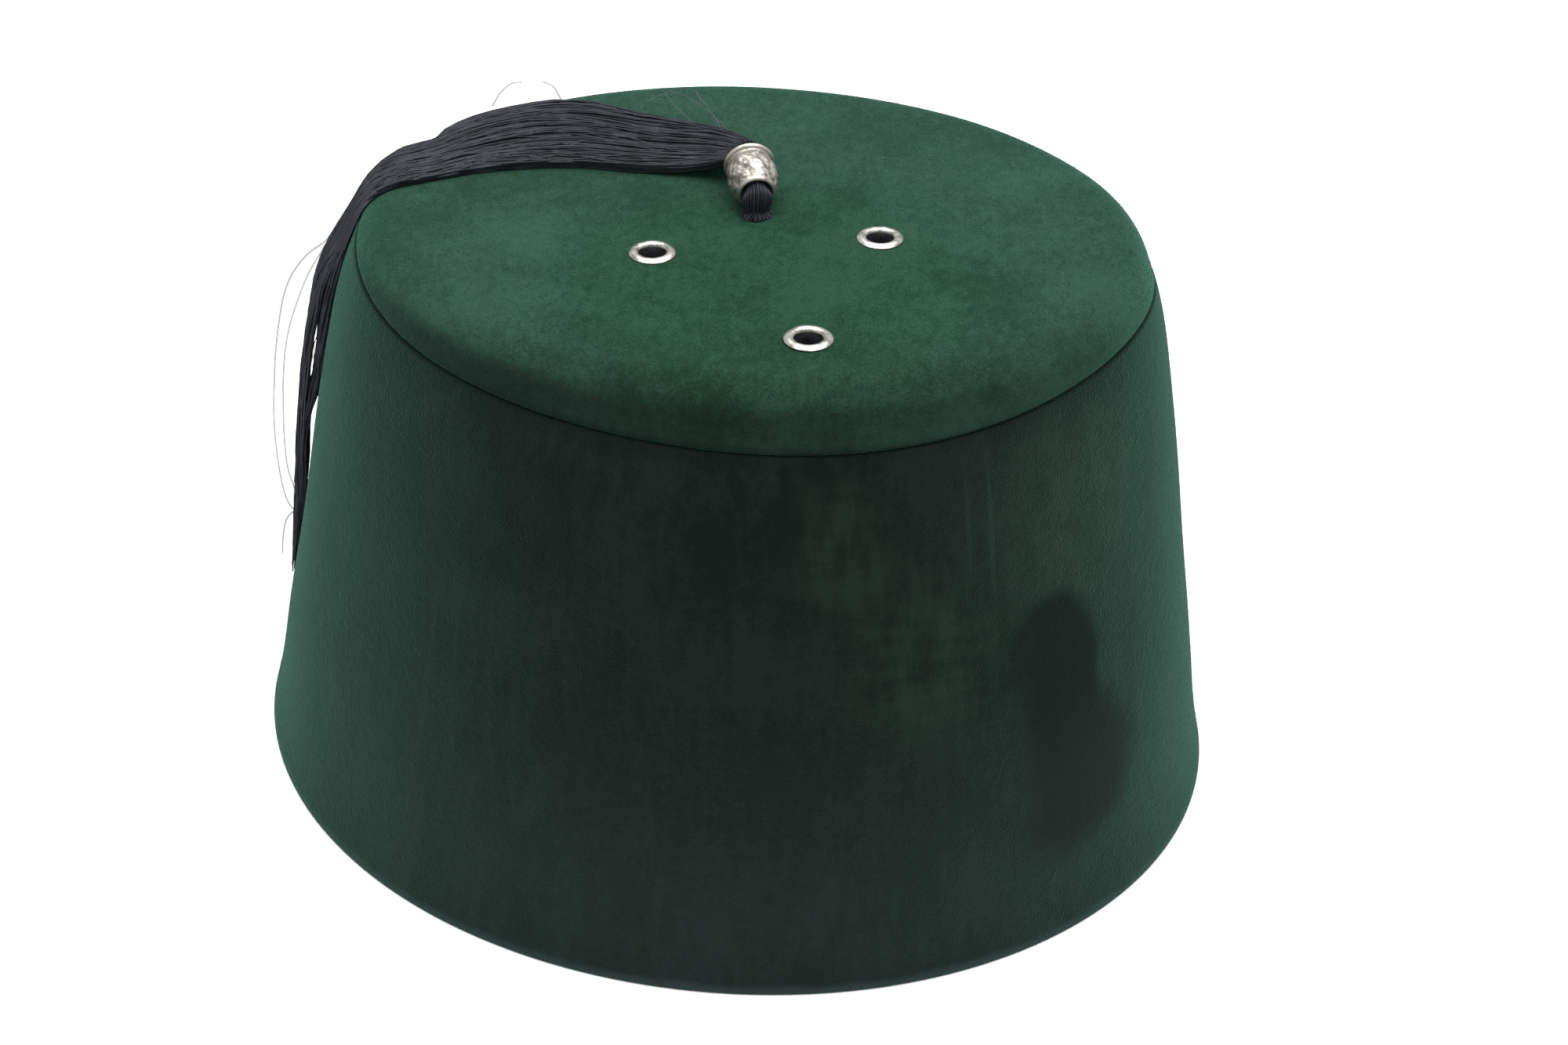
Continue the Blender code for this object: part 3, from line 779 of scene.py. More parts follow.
def in_tail(begin, u, q, inner, tip, seed):
    """The thread's places down the tail from where it begins, at share u across it.

    q is its place in its lock, -1 to 1, and inner is 0 for the outer layer and 1 for
    the inner one, or a function of the height where a thread crosses over.
    """
    start, front, back, _, _ = OVER_RIM[-1]

    def place(height):
        share = inner(height) if callable(inner) else inner
        outer_at, outer_half, inner_at, inner_half = (
            -curve(TAIL_UP, -height, c) for c in (1, 2, 3, 4))
        away = (outer_at + (inner_at - outer_at) * share
                + q * (outer_half + (inner_half - outer_half) * share))
        gather = 1 - GATHERS * (1 - height / start)
        drift = sum(noise.noise(seed + Vector((0, height / long, at))) * wide
                    for long, wide, at in DRIFTS)
        angle = radians(front + (back - front) * (0.5 + (u - 0.5) * gather))
        if u < HANGS_FREE:
            flat = min((start - height) / FLAT_BEGINS, max(ramp(height, *FLAT_ENDS), FLAT_LEAST))
            away += flat * skin(height)[0] * (1 - cos(angle - radians(FLAT_FROM)))
        else:
            away *= 1 - CLING * np.interp(height, CLINGS, (0, 1, 1, 0))
        away += noise.noise(seed + Vector((5, height / STANDS_SIZE, 0))) * STANDS_OUT
        here, off = on_shell(angle, height)
        return here + unit(np.cross(off, UP)) * drift + off * max(away, GAP)

    bend = begin - place(start)
    heights = np.linspace(start, tip, TAIL_PLACES + 1)[1:]
    return [place(height) + bend * exp((height - start) / SETTLES) for height in heights]


print("course:", len(CORD) + len(IN_BEAD), "+", len(FAN) + len(OVER_RIM), "+", TAIL_PLACES,
      "places")

# %% [markdown]
# ## The threads
#
# A thread is a curve with a bevel, which is how Blender makes any wire or yarn. The
# threads are so fine that three sides are enough for each. Real threads are never
# parallel: they wander across their lock, cross their neighbours and end at different
# lengths. The wandering is smooth noise that grows away from the bead and fades again
# over the rim. The curves of a piece become one mesh, and each thread keeps a shade
# number of its own for the silk's finish.

# %% Lay the threads
THREADS_PER_LOCK, THREAD = 180, 0.165
GOLDEN, DENSER = 2.39996, 0.4     # the golden angle spreads threads evenly; denser outside
WANDER, WANDER_SIZE = 0.11, 4.0   # share of the fan's width, in places along it
LIFT = 0.26                       # how far a thread rises and sinks in the bundle
STRAYING, STRAYS = 9, 3.0         # every ninth thread wanders three times as far
CROSSING, CROSSING_THIN = 37, 0.6     # every 37th one is thin and crosses between layers
CROSSING_LONG = 11                # one crossing takes about three times this height
INNER_LOCK = 4                    # this lock lies wholly in the tail's inner layer
FRONT_LOCKS = 5                   # the fan is two pieces, the front locks and the rest
UNEVEN_TIPS = 19                  # a lock's shortest thread ends this much higher
TAPER = 0.60                      # a thread loses this share of its radius in the tail
random = np.random.default_rng(7)

section_curve = bpy.data.curves.new("thread_section", "CURVE")
section_line = section_curve.splines.new("POLY")
section_line.points.add(2)
section_line.use_cyclic_u = True
for k, point in enumerate(section_line.points):
    turn = radians(120 * k)
    point.co = (MM * cos(turn), MM * sin(turn), 0, 1)
thread_section = placed("thread_section", section_curve)


def spun(name, threads):
    """Threads as curves made one mesh; a thread is (places in mm, radii in mm, shade)."""
    data = bpy.data.curves.new(name, "CURVE")
    data.dimensions, data.bevel_mode, data.bevel_object = "3D", "OBJECT", thread_section
    for path, radii, _ in threads:
        line = data.splines.new("POLY")
        line.points.add(len(path) - 1)
        line.points.foreach_set("co", np.ravel([(*leaned(*p), 1) for p in path]))
        line.points.foreach_set("radius", np.ravel(radii))
    curves = placed(name + "_curves", data)
    mesh = mesh_of(curves)
    mesh.name = name
    bpy.data.objects.remove(curves)
    bpy.data.curves.remove(data)
    per_place = len(mesh.vertices) // sum(len(path) for path, _, _ in threads)
    shades = np.concatenate([np.full(len(path) * per_place, shade)
                             for path, _, shade in threads])
    mesh.attributes.new("shade", "FLOAT", "POINT").data.foreach_set("value", shades)
    mesh.materials.clear()
    mesh.shade_smooth()
    print(f"{name}: {len(threads)} threads, {2 * len(mesh.polygons)} triangles")
    return placed(name, mesh)


def spread(n, count):
    """The nth of so many places in a circle of radius 1, by the golden angle."""
    r, t = ((n + 0.5) / count)**DENSER, n * GOLDEN
    return r * cos(t), r * sin(t)


def over_top(u, w, seed, strays):
    """A thread's places in the fan and over the rim; it wanders between their ends."""
    rows = len(FAN) + len(OVER_RIM)
    places = []
    for k in range(rows):
        free = min(k / 3, 1) * min((rows - 1 - k) / 4, 1)
        drift = noise.noise(seed + Vector((k / WANDER_SIZE, 0, 0))) * WANDER * free * strays
        rise = noise.noise(seed + Vector((k / WANDER_SIZE, 0, 9))) * LIFT * free
        here = min(max(u + drift, 0.01), 0.99), min(max(w + rise, 0.02), 1)
        places.append(in_fan(FAN[k], *here) if k < len(FAN)
                      else on_rim(OVER_RIM[k - len(FAN)], *here))
    return places


over_front, over_back, tail = [], [], []
for lock in range(LOCKS):
    for n in range(THREADS_PER_LOCK):
        p, q = spread(n, THREADS_PER_LOCK)
        u, w = (lock + 0.5 + 0.5 * p) / LOCKS, 0.5 + 0.5 * q
        seed = Vector((lock * 7.1 + p * 1.3, n * 3.7, 0))
        shade = random.random()
        fan = over_top(u, w, seed, STRAYS if n % STRAYING == 4 else 1.0)
        inner = 1.0 if w < 0.5 or lock == INNER_LOCK else 0.0
        in_layer = 2 * q + (1 if w < 0.5 else -1)     # its place in its layer, -1 to 1
        radius = THREAD * (0.8 + 0.4 * random.random())
        if (lock * THREADS_PER_LOCK + n) % CROSSING == 11:
            radius *= CROSSING_THIN
            turn = 6.28 * random.random()
            inner = lambda height: 0.5 + 0.5 * sin(height / CROSSING_LONG + turn)
        tip = TIPS[lock] + UNEVEN_TIPS * random.random()**1.3 * (1 - 0.5 * p)
        over = smooth_path(fan, 2)
        (over_front if lock < FRONT_LOCKS else over_back).append(
            (over, [radius] * len(over), shade))
        down = [fan[-1]] + in_tail(fan[-1], u, in_layer, inner, tip, seed)
        radii = [radius * (1 - TAPER * (i / TAIL_PLACES)**1.6) for i in range(len(down))]
        tail.append((down, radii, shade))
tassel_over = [spun("tassel_over_front", over_front), spun("tassel_over_back", over_back)]
tassel_tail = spun("tassel_tail", tail)

# %% [markdown]
# The cord between the hole and the bead is the same silk, its threads kept darker: a
# painted shade under the bead. Short cut ends stand out all round the hole, where the
# knot under the felt begins.

# %% Lay the cord and its frayed foot
# the cord's threads stay darker than the rest of the silk: painted shade under the bead
CORD_THREADS, CORD_THREAD, CORD_SHADOWED = 110, 0.23, 0.3
FRAYS, FRAY_LONG, FRAY_THICK, FRAY_THIN = 72, 2.6, 0.16, 0.07
FRAY_RING, FRAY_AHEAD = 1.4, 0.5      # the ends start on this ring, a little before the hole

foot = []
for n in range(CORD_THREADS):
    p, q = spread(n, CORD_THREADS)
    course = smooth_path(in_cord(0.5 + 0.5 * p, 0.5 + 0.5 * q), 3)
    foot.append((course, [CORD_THREAD] * len(course), random.random() * CORD_SHADOWED))
for n in range(FRAYS):
    turn, long = n * GOLDEN, FRAY_LONG * (0.5 + 0.5 * random.random())
    out = np.array((cos(turn), sin(turn), 0))
    start = FOOT + AHEAD * FRAY_AHEAD + out * FRAY_RING + UP * (0.2 + 0.5 * random.random())
    course = smooth_path([start - out * 0.6 + UP * 0.5, start + out * long * 0.4,
                          start + out * long * 0.8 - UP * 0.35], 3)
    radii = list(np.linspace(FRAY_THICK, FRAY_THIN, len(course)))
    foot.append((course, radii, random.random()))
tassel_foot = spun("tassel_foot", foot)

# %% [markdown]
# ## Stray hairs
#
# Single filaments have worked loose from the threads. Two long ones bow out from the
# rim and come back to the tail, a short one stands off the tail's end, and four curl
# above the fan. A single filament lets some light through, so its finish is a little
# see-through: it shows as a pale line against the light and is lost on the black
# silk. Each is given as a short row of places.

# %% Draw the stray hairs
LONG_HAIR, FINE_HAIR, HAIR_TAPER = 0.27, 0.15, 0.75    # radii, and what is left at the end
HAIRS = (
    # radius, how far it bows towards the camera, and its places: x, y, height
    (LONG_HAIR, 9, (
        (-79.5, -6, 107.2), (-82.1, -6, 103.4), (-86.4, -6, 99.6), (-89.9, -6, 94.7),
        (-92.1, -6, 89.4), (-93.6, -6, 83.4), (-95.0, -6, 76.3), (-96.0, -6, 68.9),
        (-96.8, -6, 61.5), (-97.1, -6, 54.3), (-96.8, -6, 45.3), (-95.9, -6, 40.0),
        (-94.6, -5, 36.8), (-93.1, -4, 36.6))),
    (LONG_HAIR, -4, (
        (-80.5, -6, 104.8), (-83.1, -6, 100.9), (-86.3, -6, 95.4), (-88.9, -6, 89.5),
        (-91.0, -6, 83.9), (-92.6, -6, 77.9), (-93.8, -6, 70.7), (-94.5, -6, 63.5),
        (-95.0, -6, 56.2), (-95.0, -6, 48.6), (-94.2, -5, 42.0), (-93.2, -4, 37.5))),
    (LONG_HAIR, 4, (
        (-93.8, -5, 38.0), (-96.4, -6, 35.6), (-97.8, -6, 30.6), (-98.4, -6, 25.8))),
    (LONG_HAIR, 0, (
        (-59.5, 33, 116.4), (-57.9, 33.5, 119.2), (-55.8, 34, 121.2), (-53.6, 34.5, 121.6))),
    (LONG_HAIR, 0, (
        (-45.4, 34, 119.2), (-46.7, 34, 121.5), (-47.9, 34, 122.2), (-49.2, 34, 122.6))),
    (FINE_HAIR, 0, (
        (-8.0, 20, 120.2), (-13.0, 29, 121.2), (-17.5, 37, 121.3), (-19.5, 40, 121.4),
        (-22.0, 40, 121.4), (-24.5, 37.5, 121.2), (-21.0, 32, 120.8), (-17.5, 28, 120.4),
        (-12.0, 21, 120.0))),
    (FINE_HAIR, 0, (
        (-28.0, 35.5, 120.0), (-24.0, 38.5, 121.0), (-19.0, 36, 121.2), (-10.0, 26, 120.6),
        (-5.0, 17.5, 119.8))),
)

strays = []
for k, (radius, bow, places) in enumerate(HAIRS):
    # the places are true ones, and spun() will lean them, so the lean is taken off first
    course = [p - UP * (LEAN_X * p[0] * p[2] / TALL) for p in smooth_path(places, 5)]
    course = [p + unit(CAMERA_PLACE - p) * bow * sin(pi * i / (len(course) - 1))
              for i, p in enumerate(course)]
    radii = list(np.linspace(radius, radius * HAIR_TAPER, len(course)))
    strays.append((course, radii, k / len(HAIRS)))
stray_hairs = spun("stray_hairs", strays)
bpy.data.objects.remove(thread_section)

# %% [markdown]
# Between the threads the tassel is full, so no light comes through it. A copy of its
# solid, drawn in a little, fills the cord and the fan under the threads. The copy's
# loose triangles are merged first, and the tail is cut off, because there the
# threads hang free.

# %% Fill the tassel
CORE_IN, CORE_FROM = 0.42, 103.0    # how far it is drawn in, and where it is cut off

bm = bmesh.new()
bm.from_mesh(bpy.data.objects["tassel"].data)
bmesh.ops.remove_doubles(bm, verts=bm.verts, dist=0.01 * MM)
bmesh.ops.recalc_face_normals(bm, faces=bm.faces)
bm.normal_update()
for v in bm.verts:
    v.co -= v.normal * CORE_IN * MM
bmesh.ops.bisect_plane(bm, geom=bm.verts[:] + bm.edges[:] + bm.faces[:],
                       plane_co=(0, 0, CORE_FROM * MM), plane_no=(0, 0, -1),
                       clear_outer=True)
bmesh.ops.holes_fill(bm, edges=[e for e in bm.edges if e.is_boundary], sides=0)
bmesh.ops.recalc_face_normals(bm, faces=bm.faces)
tassel_core = piece("tassel_core", bm)

# %% [markdown]
# ## Green velour felt
#
# Velour felt is brushed until a short nap stands up. Light falls into the nap from
# above, so the top looks bright green and the sides nearly black, and the nap glows
# a little wherever it is seen edge on. The glow is the shader's sheen. The rest is
# colour: it is mixed by how far the surface faces up, a painted light from above that
# is partly the top's own greener nap, with clouds from handling, a mottle a few
# millimetres across and a fine grain, and it is paler towards the rim, a painted light
# from the white floor.

# %% Mix the felt's greens
SIDE_DARK, SIDE_LIGHT = (0.0026, 0.0030, 0.0032, 1), (0.0060, 0.0086, 0.0076, 1)
FLOOR_LIT_DARK, FLOOR_LIT_LIGHT = (0.0066, 0.0094, 0.0092, 1), (0.0100, 0.0144, 0.0142, 1)
# the top's greens are brighter than the side's: painted light from above, partly the top's own
# nap
TOP_DARK, TOP_LIGHT = (0.0032, 0.0160, 0.0070, 1), (0.0112, 0.0390, 0.0202, 1)
EDGE_DARK, EDGE_LIGHT = (0.0074, 0.0240, 0.0148, 1), (0.0176, 0.0460, 0.0335, 1)
SHEEN_TINT, SHEEN = (0.26, 1.0, 0.69, 1), 0.155
GREEN_AT, GREEN_FROM, GREEN_TO = (8, -24), 22, 54    # the top is greenest round this place
OVAL = 0.8757                                        # the hat's width for its length

lid_mark = felt_top.data.attributes.new("lid", "FLOAT", "POINT")
lid_mark.data.foreach_set("value", np.ones(len(felt_top.data.vertices)))

felt = Paint("green_felt")
x, y, height = (axis / MM for axis in felt.axes())
mottle = felt.noise(1.7, 3.0, 0.6, stretch=(1, 0.6, 1))
strokes = felt.noise(6.0, 3.0, 0.6, stretch=(1, 1, 0.55))
cloud = felt.noise(21.0, 3.0, 0.5)
grain = felt.noise(0.36, 2.0, 0.7, stretch=(1, 0.7, 1))
brushed = felt.noise(2.6, 2.0, 0.6, stretch=(1, 1, 0.06))
light = felt.step(mottle * 0.26 + cloud * 0.38 + grain * 0.36, 0.40, 0.60)
streaky = felt.step(mottle * 0.18 + cloud * 0.36 + grain * 0.24 + brushed * 0.22, 0.44, 0.58)
# painted light: the side is paler towards the rim, as if lit by the white floor
low = felt.step(height + (cloud - 0.5) * 30, 66, 14)
side_green = felt.mix(felt.mix(SIDE_DARK, SIDE_LIGHT, streaky),
                      felt.mix(FLOOR_LIT_DARK, FLOOR_LIT_LIGHT, streaky), low)
off_x, off_y = x - GREEN_AT[0], y - GREEN_AT[1]
from_green = (off_x * off_x + off_y * off_y).root()
edge = felt.step(from_green + (cloud - 0.5) * 22, GREEN_FROM, GREEN_TO)
top_green = felt.mix(felt.mix(TOP_DARK, TOP_LIGHT, light),
                     felt.mix(EDGE_DARK, EDGE_LIGHT, light), edge)

# %% [markdown]
# ## Marks in the nap
#
# The side has been handled. Where the nap was pushed the other way it is darker or
# lighter: it is brushed up and pale on the upper right, pressed flat and dark below
# that, yellowish in two patches in the middle, and it has a few thin streaks. Each
# mark is a soft oval in the wall's own measures, the angle round the hat and the
# height, and noise makes its border uneven. Two more marks go right round: a painted
# light along the cut rim, where its rounded edge faces the white floor, and the
# painted shade that the top throws just under the seam.

# %% Mark the side
MARKS = (
    # name, angle (front is -90), height, half wide (degrees), half tall, soft, wobble, share
    ("brushed up", -35.5, 89, 13.0, 21.0, 0.55, 0.40, 0.85),
    ("pressed upper", -40.6, 58.0, 7.9, 14.6, 0.24, 0.22, 1.0),
    ("pressed lower", -38.5, 34, 11.6, 16.5, 0.42, 0.30, 1.0),
    ("patch high", -69.3, 89, 5.6, 11.5, 0.60, 1.0, 0.70),
    ("patch low", -59.0, 67, 9.5, 14.0, 0.70, 1.0, 0.75),
    ("green left", -131.0, 74, 16.0, 26.0, 0.70, 0.9, 0.40),
    ("streak a", -49.2, 90, 0.34, 13.0, 0.60, 0.3, 0.38),
    ("streak b", -52.5, 92, 0.30, 7.0, 0.60, 0.3, 0.30),
    ("streak c", -121.5, 52, 0.40, 16.0, 0.60, 0.3, 0.20),
    ("streak d", -117.8, 62, 0.30, 8.5, 0.60, 0.3, 0.20),
)
PRESSED, PRESSED_UNTIL = 0.85, (-50, -42)      # share, and the angles where it fades out
PRESSED_HIGH, PRESSED_LOW = (0.0024, 0.0070, 0.0058, 1), (0.0080, 0.0125, 0.0118, 1)
PATCH_MARK = (0.0098, 0.0190, 0.0116, 1)
UP_DARK, UP_LIGHT = (0.0076, 0.0128, 0.0096, 1), (0.0122, 0.0212, 0.0158, 1)
GREEN_MARK, STREAK_MARK = (0.0056, 0.0125, 0.0092, 1), (0.0165, 0.0260, 0.0205, 1)
# the pale line along the cut rim is painted light from the white floor
RIM_LIT, SEAM_SHADE = (0.0250, 0.0350, 0.0370, 1), (0.0016, 0.0028, 0.0024, 1)
RIM_LIT_SHARE, SEAM_SHARE = 0.8, 0.6

around = y.math("ARCTAN2", y / OVAL, x) * (180 / pi)
wobble = felt.noise(9.0, 2.0, 0.5) - 0.5
marks = {}
for name, angle, at, wide, tall, soft, uneven, share in MARKS:
    a, b = (around - angle) / wide, (height - at) / tall
    far = (a * a + b * b).root() + wobble * uneven
    marks[name] = felt.step(far, 1 + soft, 1 - soft) * share
side_green = felt.mix(side_green, GREEN_MARK, marks["green left"])
combed = felt.step(strokes * 0.5 + mottle * 0.25 + grain * 0.25, 0.43, 0.58)
side_green = felt.mix(side_green, felt.mix(UP_DARK, UP_LIGHT, combed), marks["brushed up"])
woven = felt.noise(3.6, 2.0, 0.5, stretch=(0.28, 0.28, 1.0))
patches = felt.step(brushed * 0.5 + woven * 0.5, 0.30, 0.62)
for name in ("patch high", "patch low"):
    side_green = felt.mix(side_green, PATCH_MARK, marks[name] * patches)
pressed = felt.step(marks["pressed upper"] + marks["pressed lower"], 0, 1)
pressed = pressed * felt.step(around + wobble * 6, *PRESSED_UNTIL) * PRESSED
# lower down the pressed nap is paler too: the same painted light from the floor
pressed_green = felt.mix(PRESSED_HIGH, PRESSED_LOW, felt.step(height + wobble * 12, 54, 34))
side_green = felt.mix(side_green, pressed_green, pressed)
# painted light along the cut rim, where its rounded edge faces the white floor
rim_floor_light = felt.step(height + wobble * 1.5, 2.6, 0.6)
side_green = felt.mix(side_green, RIM_LIT, rim_floor_light * RIM_LIT_SHARE)
for name in ("streak a", "streak b", "streak c", "streak d"):
    side_green = felt.mix(side_green, STREAK_MARK, marks[name])
over_seam = height - x * LEAN_X - (TALL - SEAM_DEPTH)
under_seam = felt.step(over_seam + wobble * 3, -6.5, -0.8)
side_green = felt.mix(side_green, SEAM_SHADE, under_seam * SEAM_SHARE)

# %% [markdown]
# The top's green and the side's meet on the rolled edge, by how far the surface faces
# up and a little to the right: a painted light from above. The lip of the top has a
# painted highlight at both ends of the hat, where it catches the light. Pressed nap
# lies flat, so it has lost its glow as well as its colour. Sheen is one number for
# the whole shader. A second shader without it is therefore mixed in where the nap is
# pressed.

# %% Join the felt's two shaders
FROM_RIGHT = 0.20                     # the light comes a little from the right
LIP_LIT, LIP_SHARE = (0.0120, 0.0300, 0.0210, 1), 0.6
LIP_FROM, LIP_TO = 46.9, 72.1         # it fades in between these distances along x
DULL = {"Roughness": 0.95, "Specular IOR Level": 0.10}
NAP_DEPTH, SIDE_DEEPER = 0.34, 1.7    # depth of the bump; the side's is this much deeper

on_lid = felt.attribute("lid")
face_x, _, face_up = felt.axes(felt.place.node.outputs["Normal"])
facing_the_light = face_up + face_x * FROM_RIGHT
# painted light: where the lid faces up, and a little to the right, it takes the top's brighter
# greens
painted_top_light = felt.step(facing_the_light, 0.22, 0.72) * 0.80 + felt.step(facing_the_light, 0.08, 0.46) * 0.20
green = felt.mix(side_green, top_green, painted_top_light * on_lid)
at_ends = felt.step(x * x, LIP_FROM**2, LIP_TO**2)
lip_lit = felt.step(over_seam, 2.6, 0.6) * at_ends * on_lid
green = felt.mix(green, LIP_LIT, lip_lit * LIP_SHARE)
felt.set(Base_Color=green, Sheen_Weight=SHEEN, Sheen_Roughness=0.45, Sheen_Tint=SHEEN_TINT,
         **DULL)
felt.bump((mottle * 0.4 + grain * 0.6) * (SIDE_DEEPER - on_lid * (SIDE_DEEPER - 1)),
          NAP_DEPTH, 0.8)
flat_nap = felt.add("ShaderNodeBsdfPrincipled", None, {"Base Color": green, **DULL})
felt.put(flat_nap.inputs["Normal"], felt.surface.inputs["Normal"].links[0].from_socket)
both = felt.add("ShaderNodeMixShader", None, {
    0: pressed * (1 - on_lid), 1: felt.surface.outputs[0], 2: flat_nap.outputs[0]})
felt.put(felt.tree.nodes["Material Output"].inputs["Surface"], both.outputs[0])
print("felt:", len(felt.tree.nodes), "nodes")

# %% [markdown]
# ## Metal and silk
#
# The eyelets are nickel plate: bright on the flange, with a painted shade where it
# meets the felt, and a plain grey down the bore. The bead's silver is dark in the
# hollows of its relief and bright where it is worn. The silk is nearly black, and each
# thread has its own shade, with slow clumps of paler threads among the dark ones.

# %% Mix the metals
NICKEL_DULL, NICKEL_BRIGHT = (0.27, 0.26, 0.24, 1), (0.56, 0.545, 0.515, 1)
NICKEL_SHADED, NICKEL_BORE = (0.16, 0.15, 0.13, 1), (0.42, 0.43, 0.46, 1)
SILVER_DARK, SILVER_WORN = (0.105, 0.095, 0.082, 1), (0.43, 0.41, 0.37, 1)

nickel = Paint("nickel_plate")
tarnish = nickel.noise(1.4, 3.0, 0.6)
x, _, z = nickel.axes()
over_felt = z / MM - x / MM * LEAN_X - TALL
plate = nickel.mix(NICKEL_DULL, NICKEL_BRIGHT, nickel.step(tarnish, 0.38, 0.58))
# painted shade: the flange is darker where it comes down to the felt
plate = nickel.mix(NICKEL_SHADED, plate, nickel.step(over_felt, 0.20, 0.62))
plate = nickel.mix(NICKEL_BORE, plate, nickel.step(over_felt, -0.5, 0.2))
nickel.set(Base_Color=plate, Metallic=1.0, Roughness=tarnish * -0.2 + 0.40)
nickel.bump(nickel.noise(0.5, 2.0), 0.02, 0.5)

silver = Paint("darkened_silver")
grime, scratches = silver.noise(2.6, 2.0, 0.5), silver.noise(0.5, 3.0, 0.6)
worn = silver.step(silver.attribute("relief") * 0.8 + scratches * 0.3 + grime * 0.3, 0.46, 0.78)
silver.set(Base_Color=silver.mix(SILVER_DARK, SILVER_WORN, worn),
           Metallic=silver.step(worn, 0.0, 0.3) * 0.5 + 0.5, Roughness=worn * -0.16 + 0.60)
silver.bump(silver.noise(0.30, 3.0, 0.6), 0.05, 0.6)

# %% Mix the silk and dress the pieces
SILK_DARK, SILK_PALE = (0.0250, 0.0258, 0.0300, 1), (0.0470, 0.0500, 0.0600, 1)
HAIR_DARK, HAIR_PALE = (0.050, 0.065, 0.090, 1), (0.065, 0.080, 0.110, 1)
HAIR_ALPHA = 0.46

silk = Paint("black_silk")
clump = silk.step(silk.noise(4.5, 2.0, 0.5), 0.35, 0.65)
shade = silk.attribute("shade") * 0.55 + clump * 0.45
silk.set(Base_Color=silk.mix(SILK_DARK, SILK_PALE, shade), Roughness=0.50,
         Specular_IOR_Level=0.10)
silk.bump(silk.noise(0.25, 2.0), 0.03, 0.5)

hair = Paint("loose_filament")
hair.set(Base_Color=hair.mix(HAIR_DARK, HAIR_PALE, hair.attribute("shade")), Roughness=0.5,
         Alpha=HAIR_ALPHA)

for finish, dressed in ((felt, [felt_wall, felt_top, stitches]), (nickel, eyelets),
                        (silver, [bead]), (hair, [stray_hairs]),
                        (silk, [*tassel_over, tassel_tail, tassel_foot, tassel_core])):
    for ob in dressed:
        ob.data.materials.clear()
        ob.data.materials.append(finish.material)

# %% [markdown]
# ## Nap
#
# Brushed felt has no sharp outline: short fibres stand off it everywhere. They are
# far too many to model one at a time, so they are scattered by chance over the faces
# of the felt, each as a tiny closed spike. One array of numbers holds all their
# corners, and one mesh is made from it. Fibres lean the way the felt was brushed.

# %% Scatter the nap
TOP_FIBRES, SIDE_FIBRES = 42000, 30000
FIBRE_LONG, FIBRE_THICK, FIBRE_ROOT = (0.30, 0.62), 0.032, 0.10    # root: inside the felt
TANGLED, LEAST_UP = 0.75, 0.35         # how far a fibre strays, how far it stands up at least
CLEAR_OF_EYELET, CLEAR_OF_HOLE = 5.0, 3.4
TOP_BRUSHED, SIDE_BRUSHED = (0.25, -0.35, 0), (0, 0, -0.7)         # the way they lean
TOP_PALE, SIDE_PALE = (0.0330, 0.0860, 0.0590, 1), (0.0190, 0.0330, 0.0280, 1)


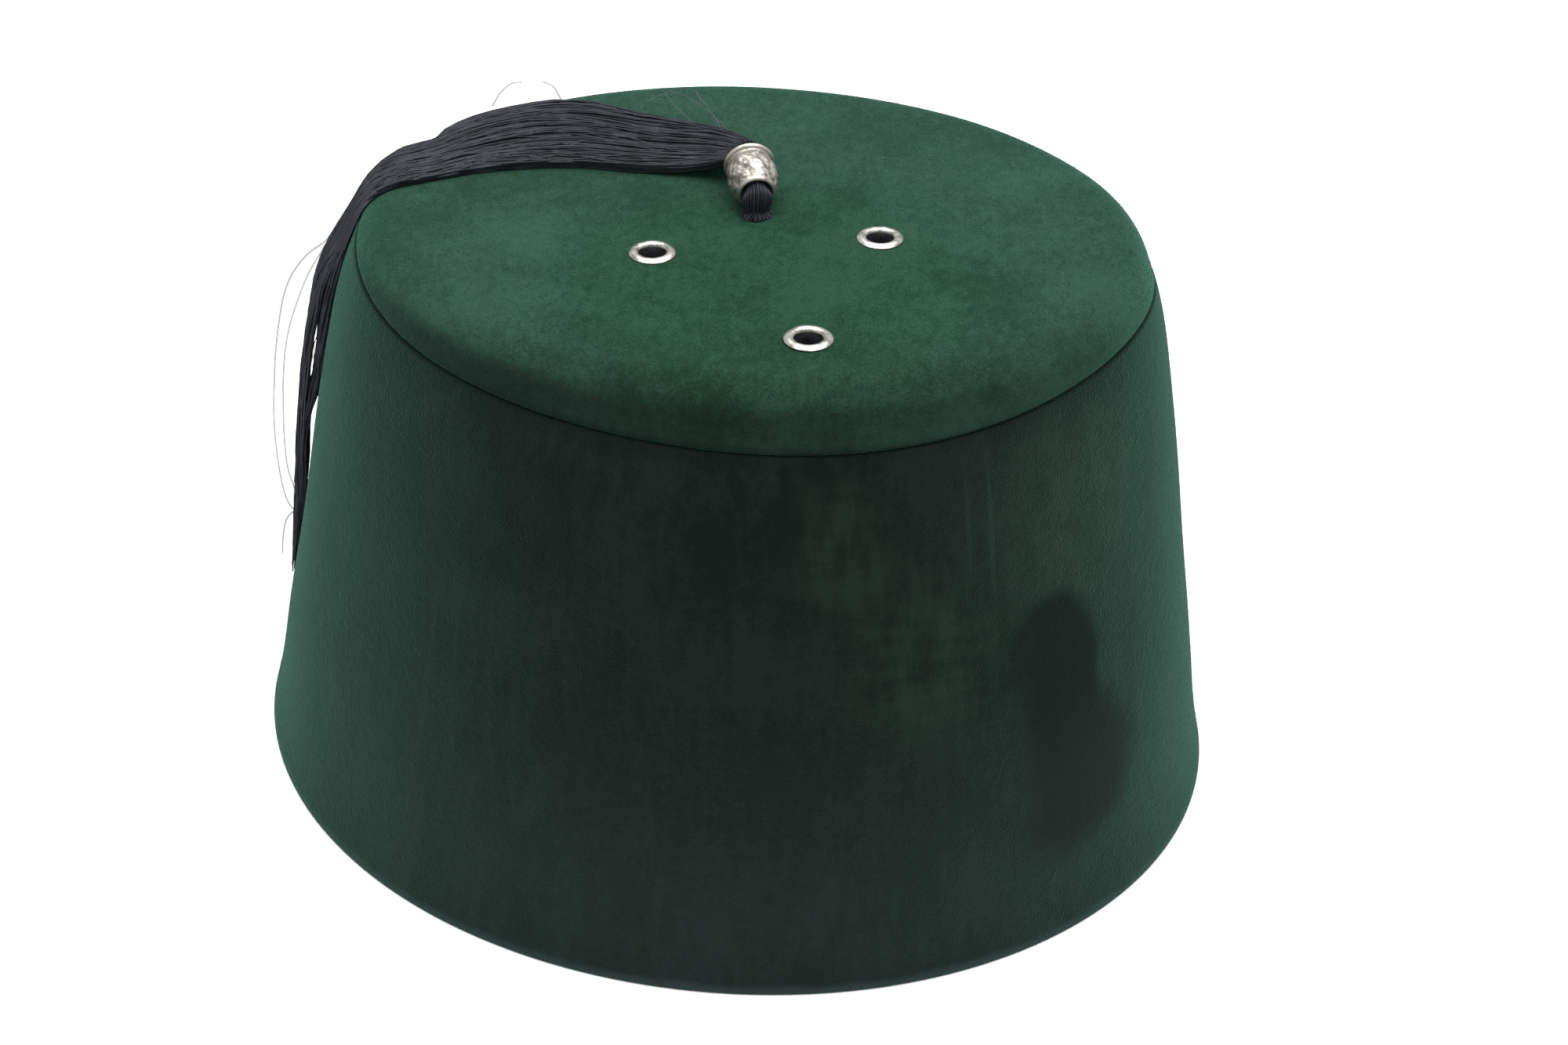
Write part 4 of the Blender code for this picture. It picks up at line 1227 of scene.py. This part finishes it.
def nap(name, carrier, count, keep, lean, seed):
    """Closed spikes on the faces of a felt piece that keep(middle, normal) chooses."""
    chance = np.random.default_rng(seed)
    mesh = carrier.data
    mesh.calc_loop_triangles()
    corners = np.array([mesh.vertices[i].co for t in mesh.loop_triangles for i in t.vertices])
    corners = corners.reshape(-1, 3, 3) / MM
    # extruding gives the faces in another order each time, so they are sorted by place
    corners = corners[np.lexsort(corners.mean(1).round(3).T)]
    a, b, c = corners.transpose(1, 0, 2)
    normal = np.cross(b - a, c - a)
    area = np.linalg.norm(normal, axis=1) / 2
    normal /= np.maximum(area[:, None] * 2, 1e-9)
    area = np.where(keep((a + b + c) / 3, normal), area, 0)
    pick = chance.choice(len(area), count, p=area / area.sum())
    s, t = chance.random((2, count, 1))
    s, t = np.where(s + t > 1, 1 - s, s), np.where(s + t > 1, 1 - t, t)
    root = a[pick] + (b - a)[pick] * s + (c - a)[pick] * t
    out = normal[pick]
    way = out + lean + chance.normal(0, TANGLED, (count, 3))
    way += out * np.maximum(LEAST_UP - (way * out).sum(1, keepdims=True), 0)
    way /= np.linalg.norm(way, axis=1, keepdims=True)
    long = chance.uniform(*FIBRE_LONG, (count, 1))
    side = np.cross(way, out + (0.01, 0.02, 0.03))
    side /= np.linalg.norm(side, axis=1, keepdims=True)
    over = np.cross(way, side)
    root = root - out * FIBRE_ROOT
    spikes = np.stack([root + side * FIBRE_THICK,
                       root + (over * 0.87 - side * 0.5) * FIBRE_THICK,
                       root + (over * -0.87 - side * 0.5) * FIBRE_THICK,
                       root + way * (long + FIBRE_ROOT)], axis=1)
    faces = np.array(((0, 1, 3), (1, 2, 3), (2, 0, 3), (2, 1, 0)))
    faces = (np.arange(count)[:, None, None] * 4 + faces).reshape(-1, 3)
    mesh = bpy.data.meshes.new(name)
    mesh.from_pydata((spikes.reshape(-1, 3) * MM).tolist(), [], faces.tolist())
    mesh.attributes.new("shade", "FLOAT", "POINT").data.foreach_set(
        "value", np.repeat(chance.random(count), 4))
    print(f"{name}: {count} fibres on {area.sum():.0f} square mm")
    return placed(name, mesh)


def outwards(middle, normal):
    """How far each face looks away from the hat's axis, from -1 to 1."""
    x, y = middle[:, 0], middle[:, 1]
    return (x * normal[:, 0] + y * normal[:, 1]) / np.maximum(np.hypot(x, y), 1e-9)


def on_top(middle, normal):
    """The outer faces of the lid, away from the metal and the cord."""
    x, y, z = middle.T
    clear = np.hypot(x - HOLE[0], y - HOLE[1]) > CLEAR_OF_HOLE
    for _, ex, ey in EYELETS:
        clear &= np.hypot(x - ex, y - ey) > CLEAR_OF_EYELET
    above = (z > TALL - SEAM_DEPTH - 5) & (normal[:, 2] > -0.35)
    return clear & above & (outwards(middle, normal) > -0.2)


def on_side(middle, normal):
    """The outer faces of the wall."""
    return outwards(middle, normal) > 0.5


nap_top = nap("nap_top", felt_top, TOP_FIBRES, on_top, TOP_BRUSHED, 11)
nap_side = nap("nap_side", felt_wall, SIDE_FIBRES, on_side, SIDE_BRUSHED, 12)

# %% Colour the nap like the felt under it
# the top's fibres take the top's greens and carry its painted light from above; the palest stand
# for lint and for fibres catching the light, a painted glint
for ob, dark, pale in ((nap_top, TOP_DARK, TOP_PALE), (nap_side, SIDE_DARK, SIDE_PALE)):
    fibre = Paint("nap_fibre_" + ob.name.split("_")[1])
    shade = fibre.attribute("shade")
    fibre.set(Base_Color=fibre.mix(dark, pale, shade * shade),
              Roughness=0.9, Specular_IOR_Level=0.10)
    ob.data.materials.append(fibre.material)

# %% Tell the frame what rides where, and finish
for ob, node in ((felt_wall, "crown_side"), (felt_top, "crown_top"), (bead, "tassel_bead"),
                 (tassel_over[0], "tassel")):
    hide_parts(node)
for ob, (name, _, _) in zip(eyelets, EYELETS):
    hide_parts(name)
slots = {"green_felt": "felt", "nickel_plate": "nickel", "darkened_silver": "old_silver",
         "black_silk": "silk", "loose_filament": "silk",
         "nap_fibre_top": "felt", "nap_fibre_side": "felt"}
pieces = [ob for ob in bpy.context.scene.objects
          if ob.type == "MESH" and ob.data.materials
          and ob.data.materials[0] and ob.data.materials[0].name in slots
          and ob.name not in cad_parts]
for ob in pieces:
    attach(ob, "root")
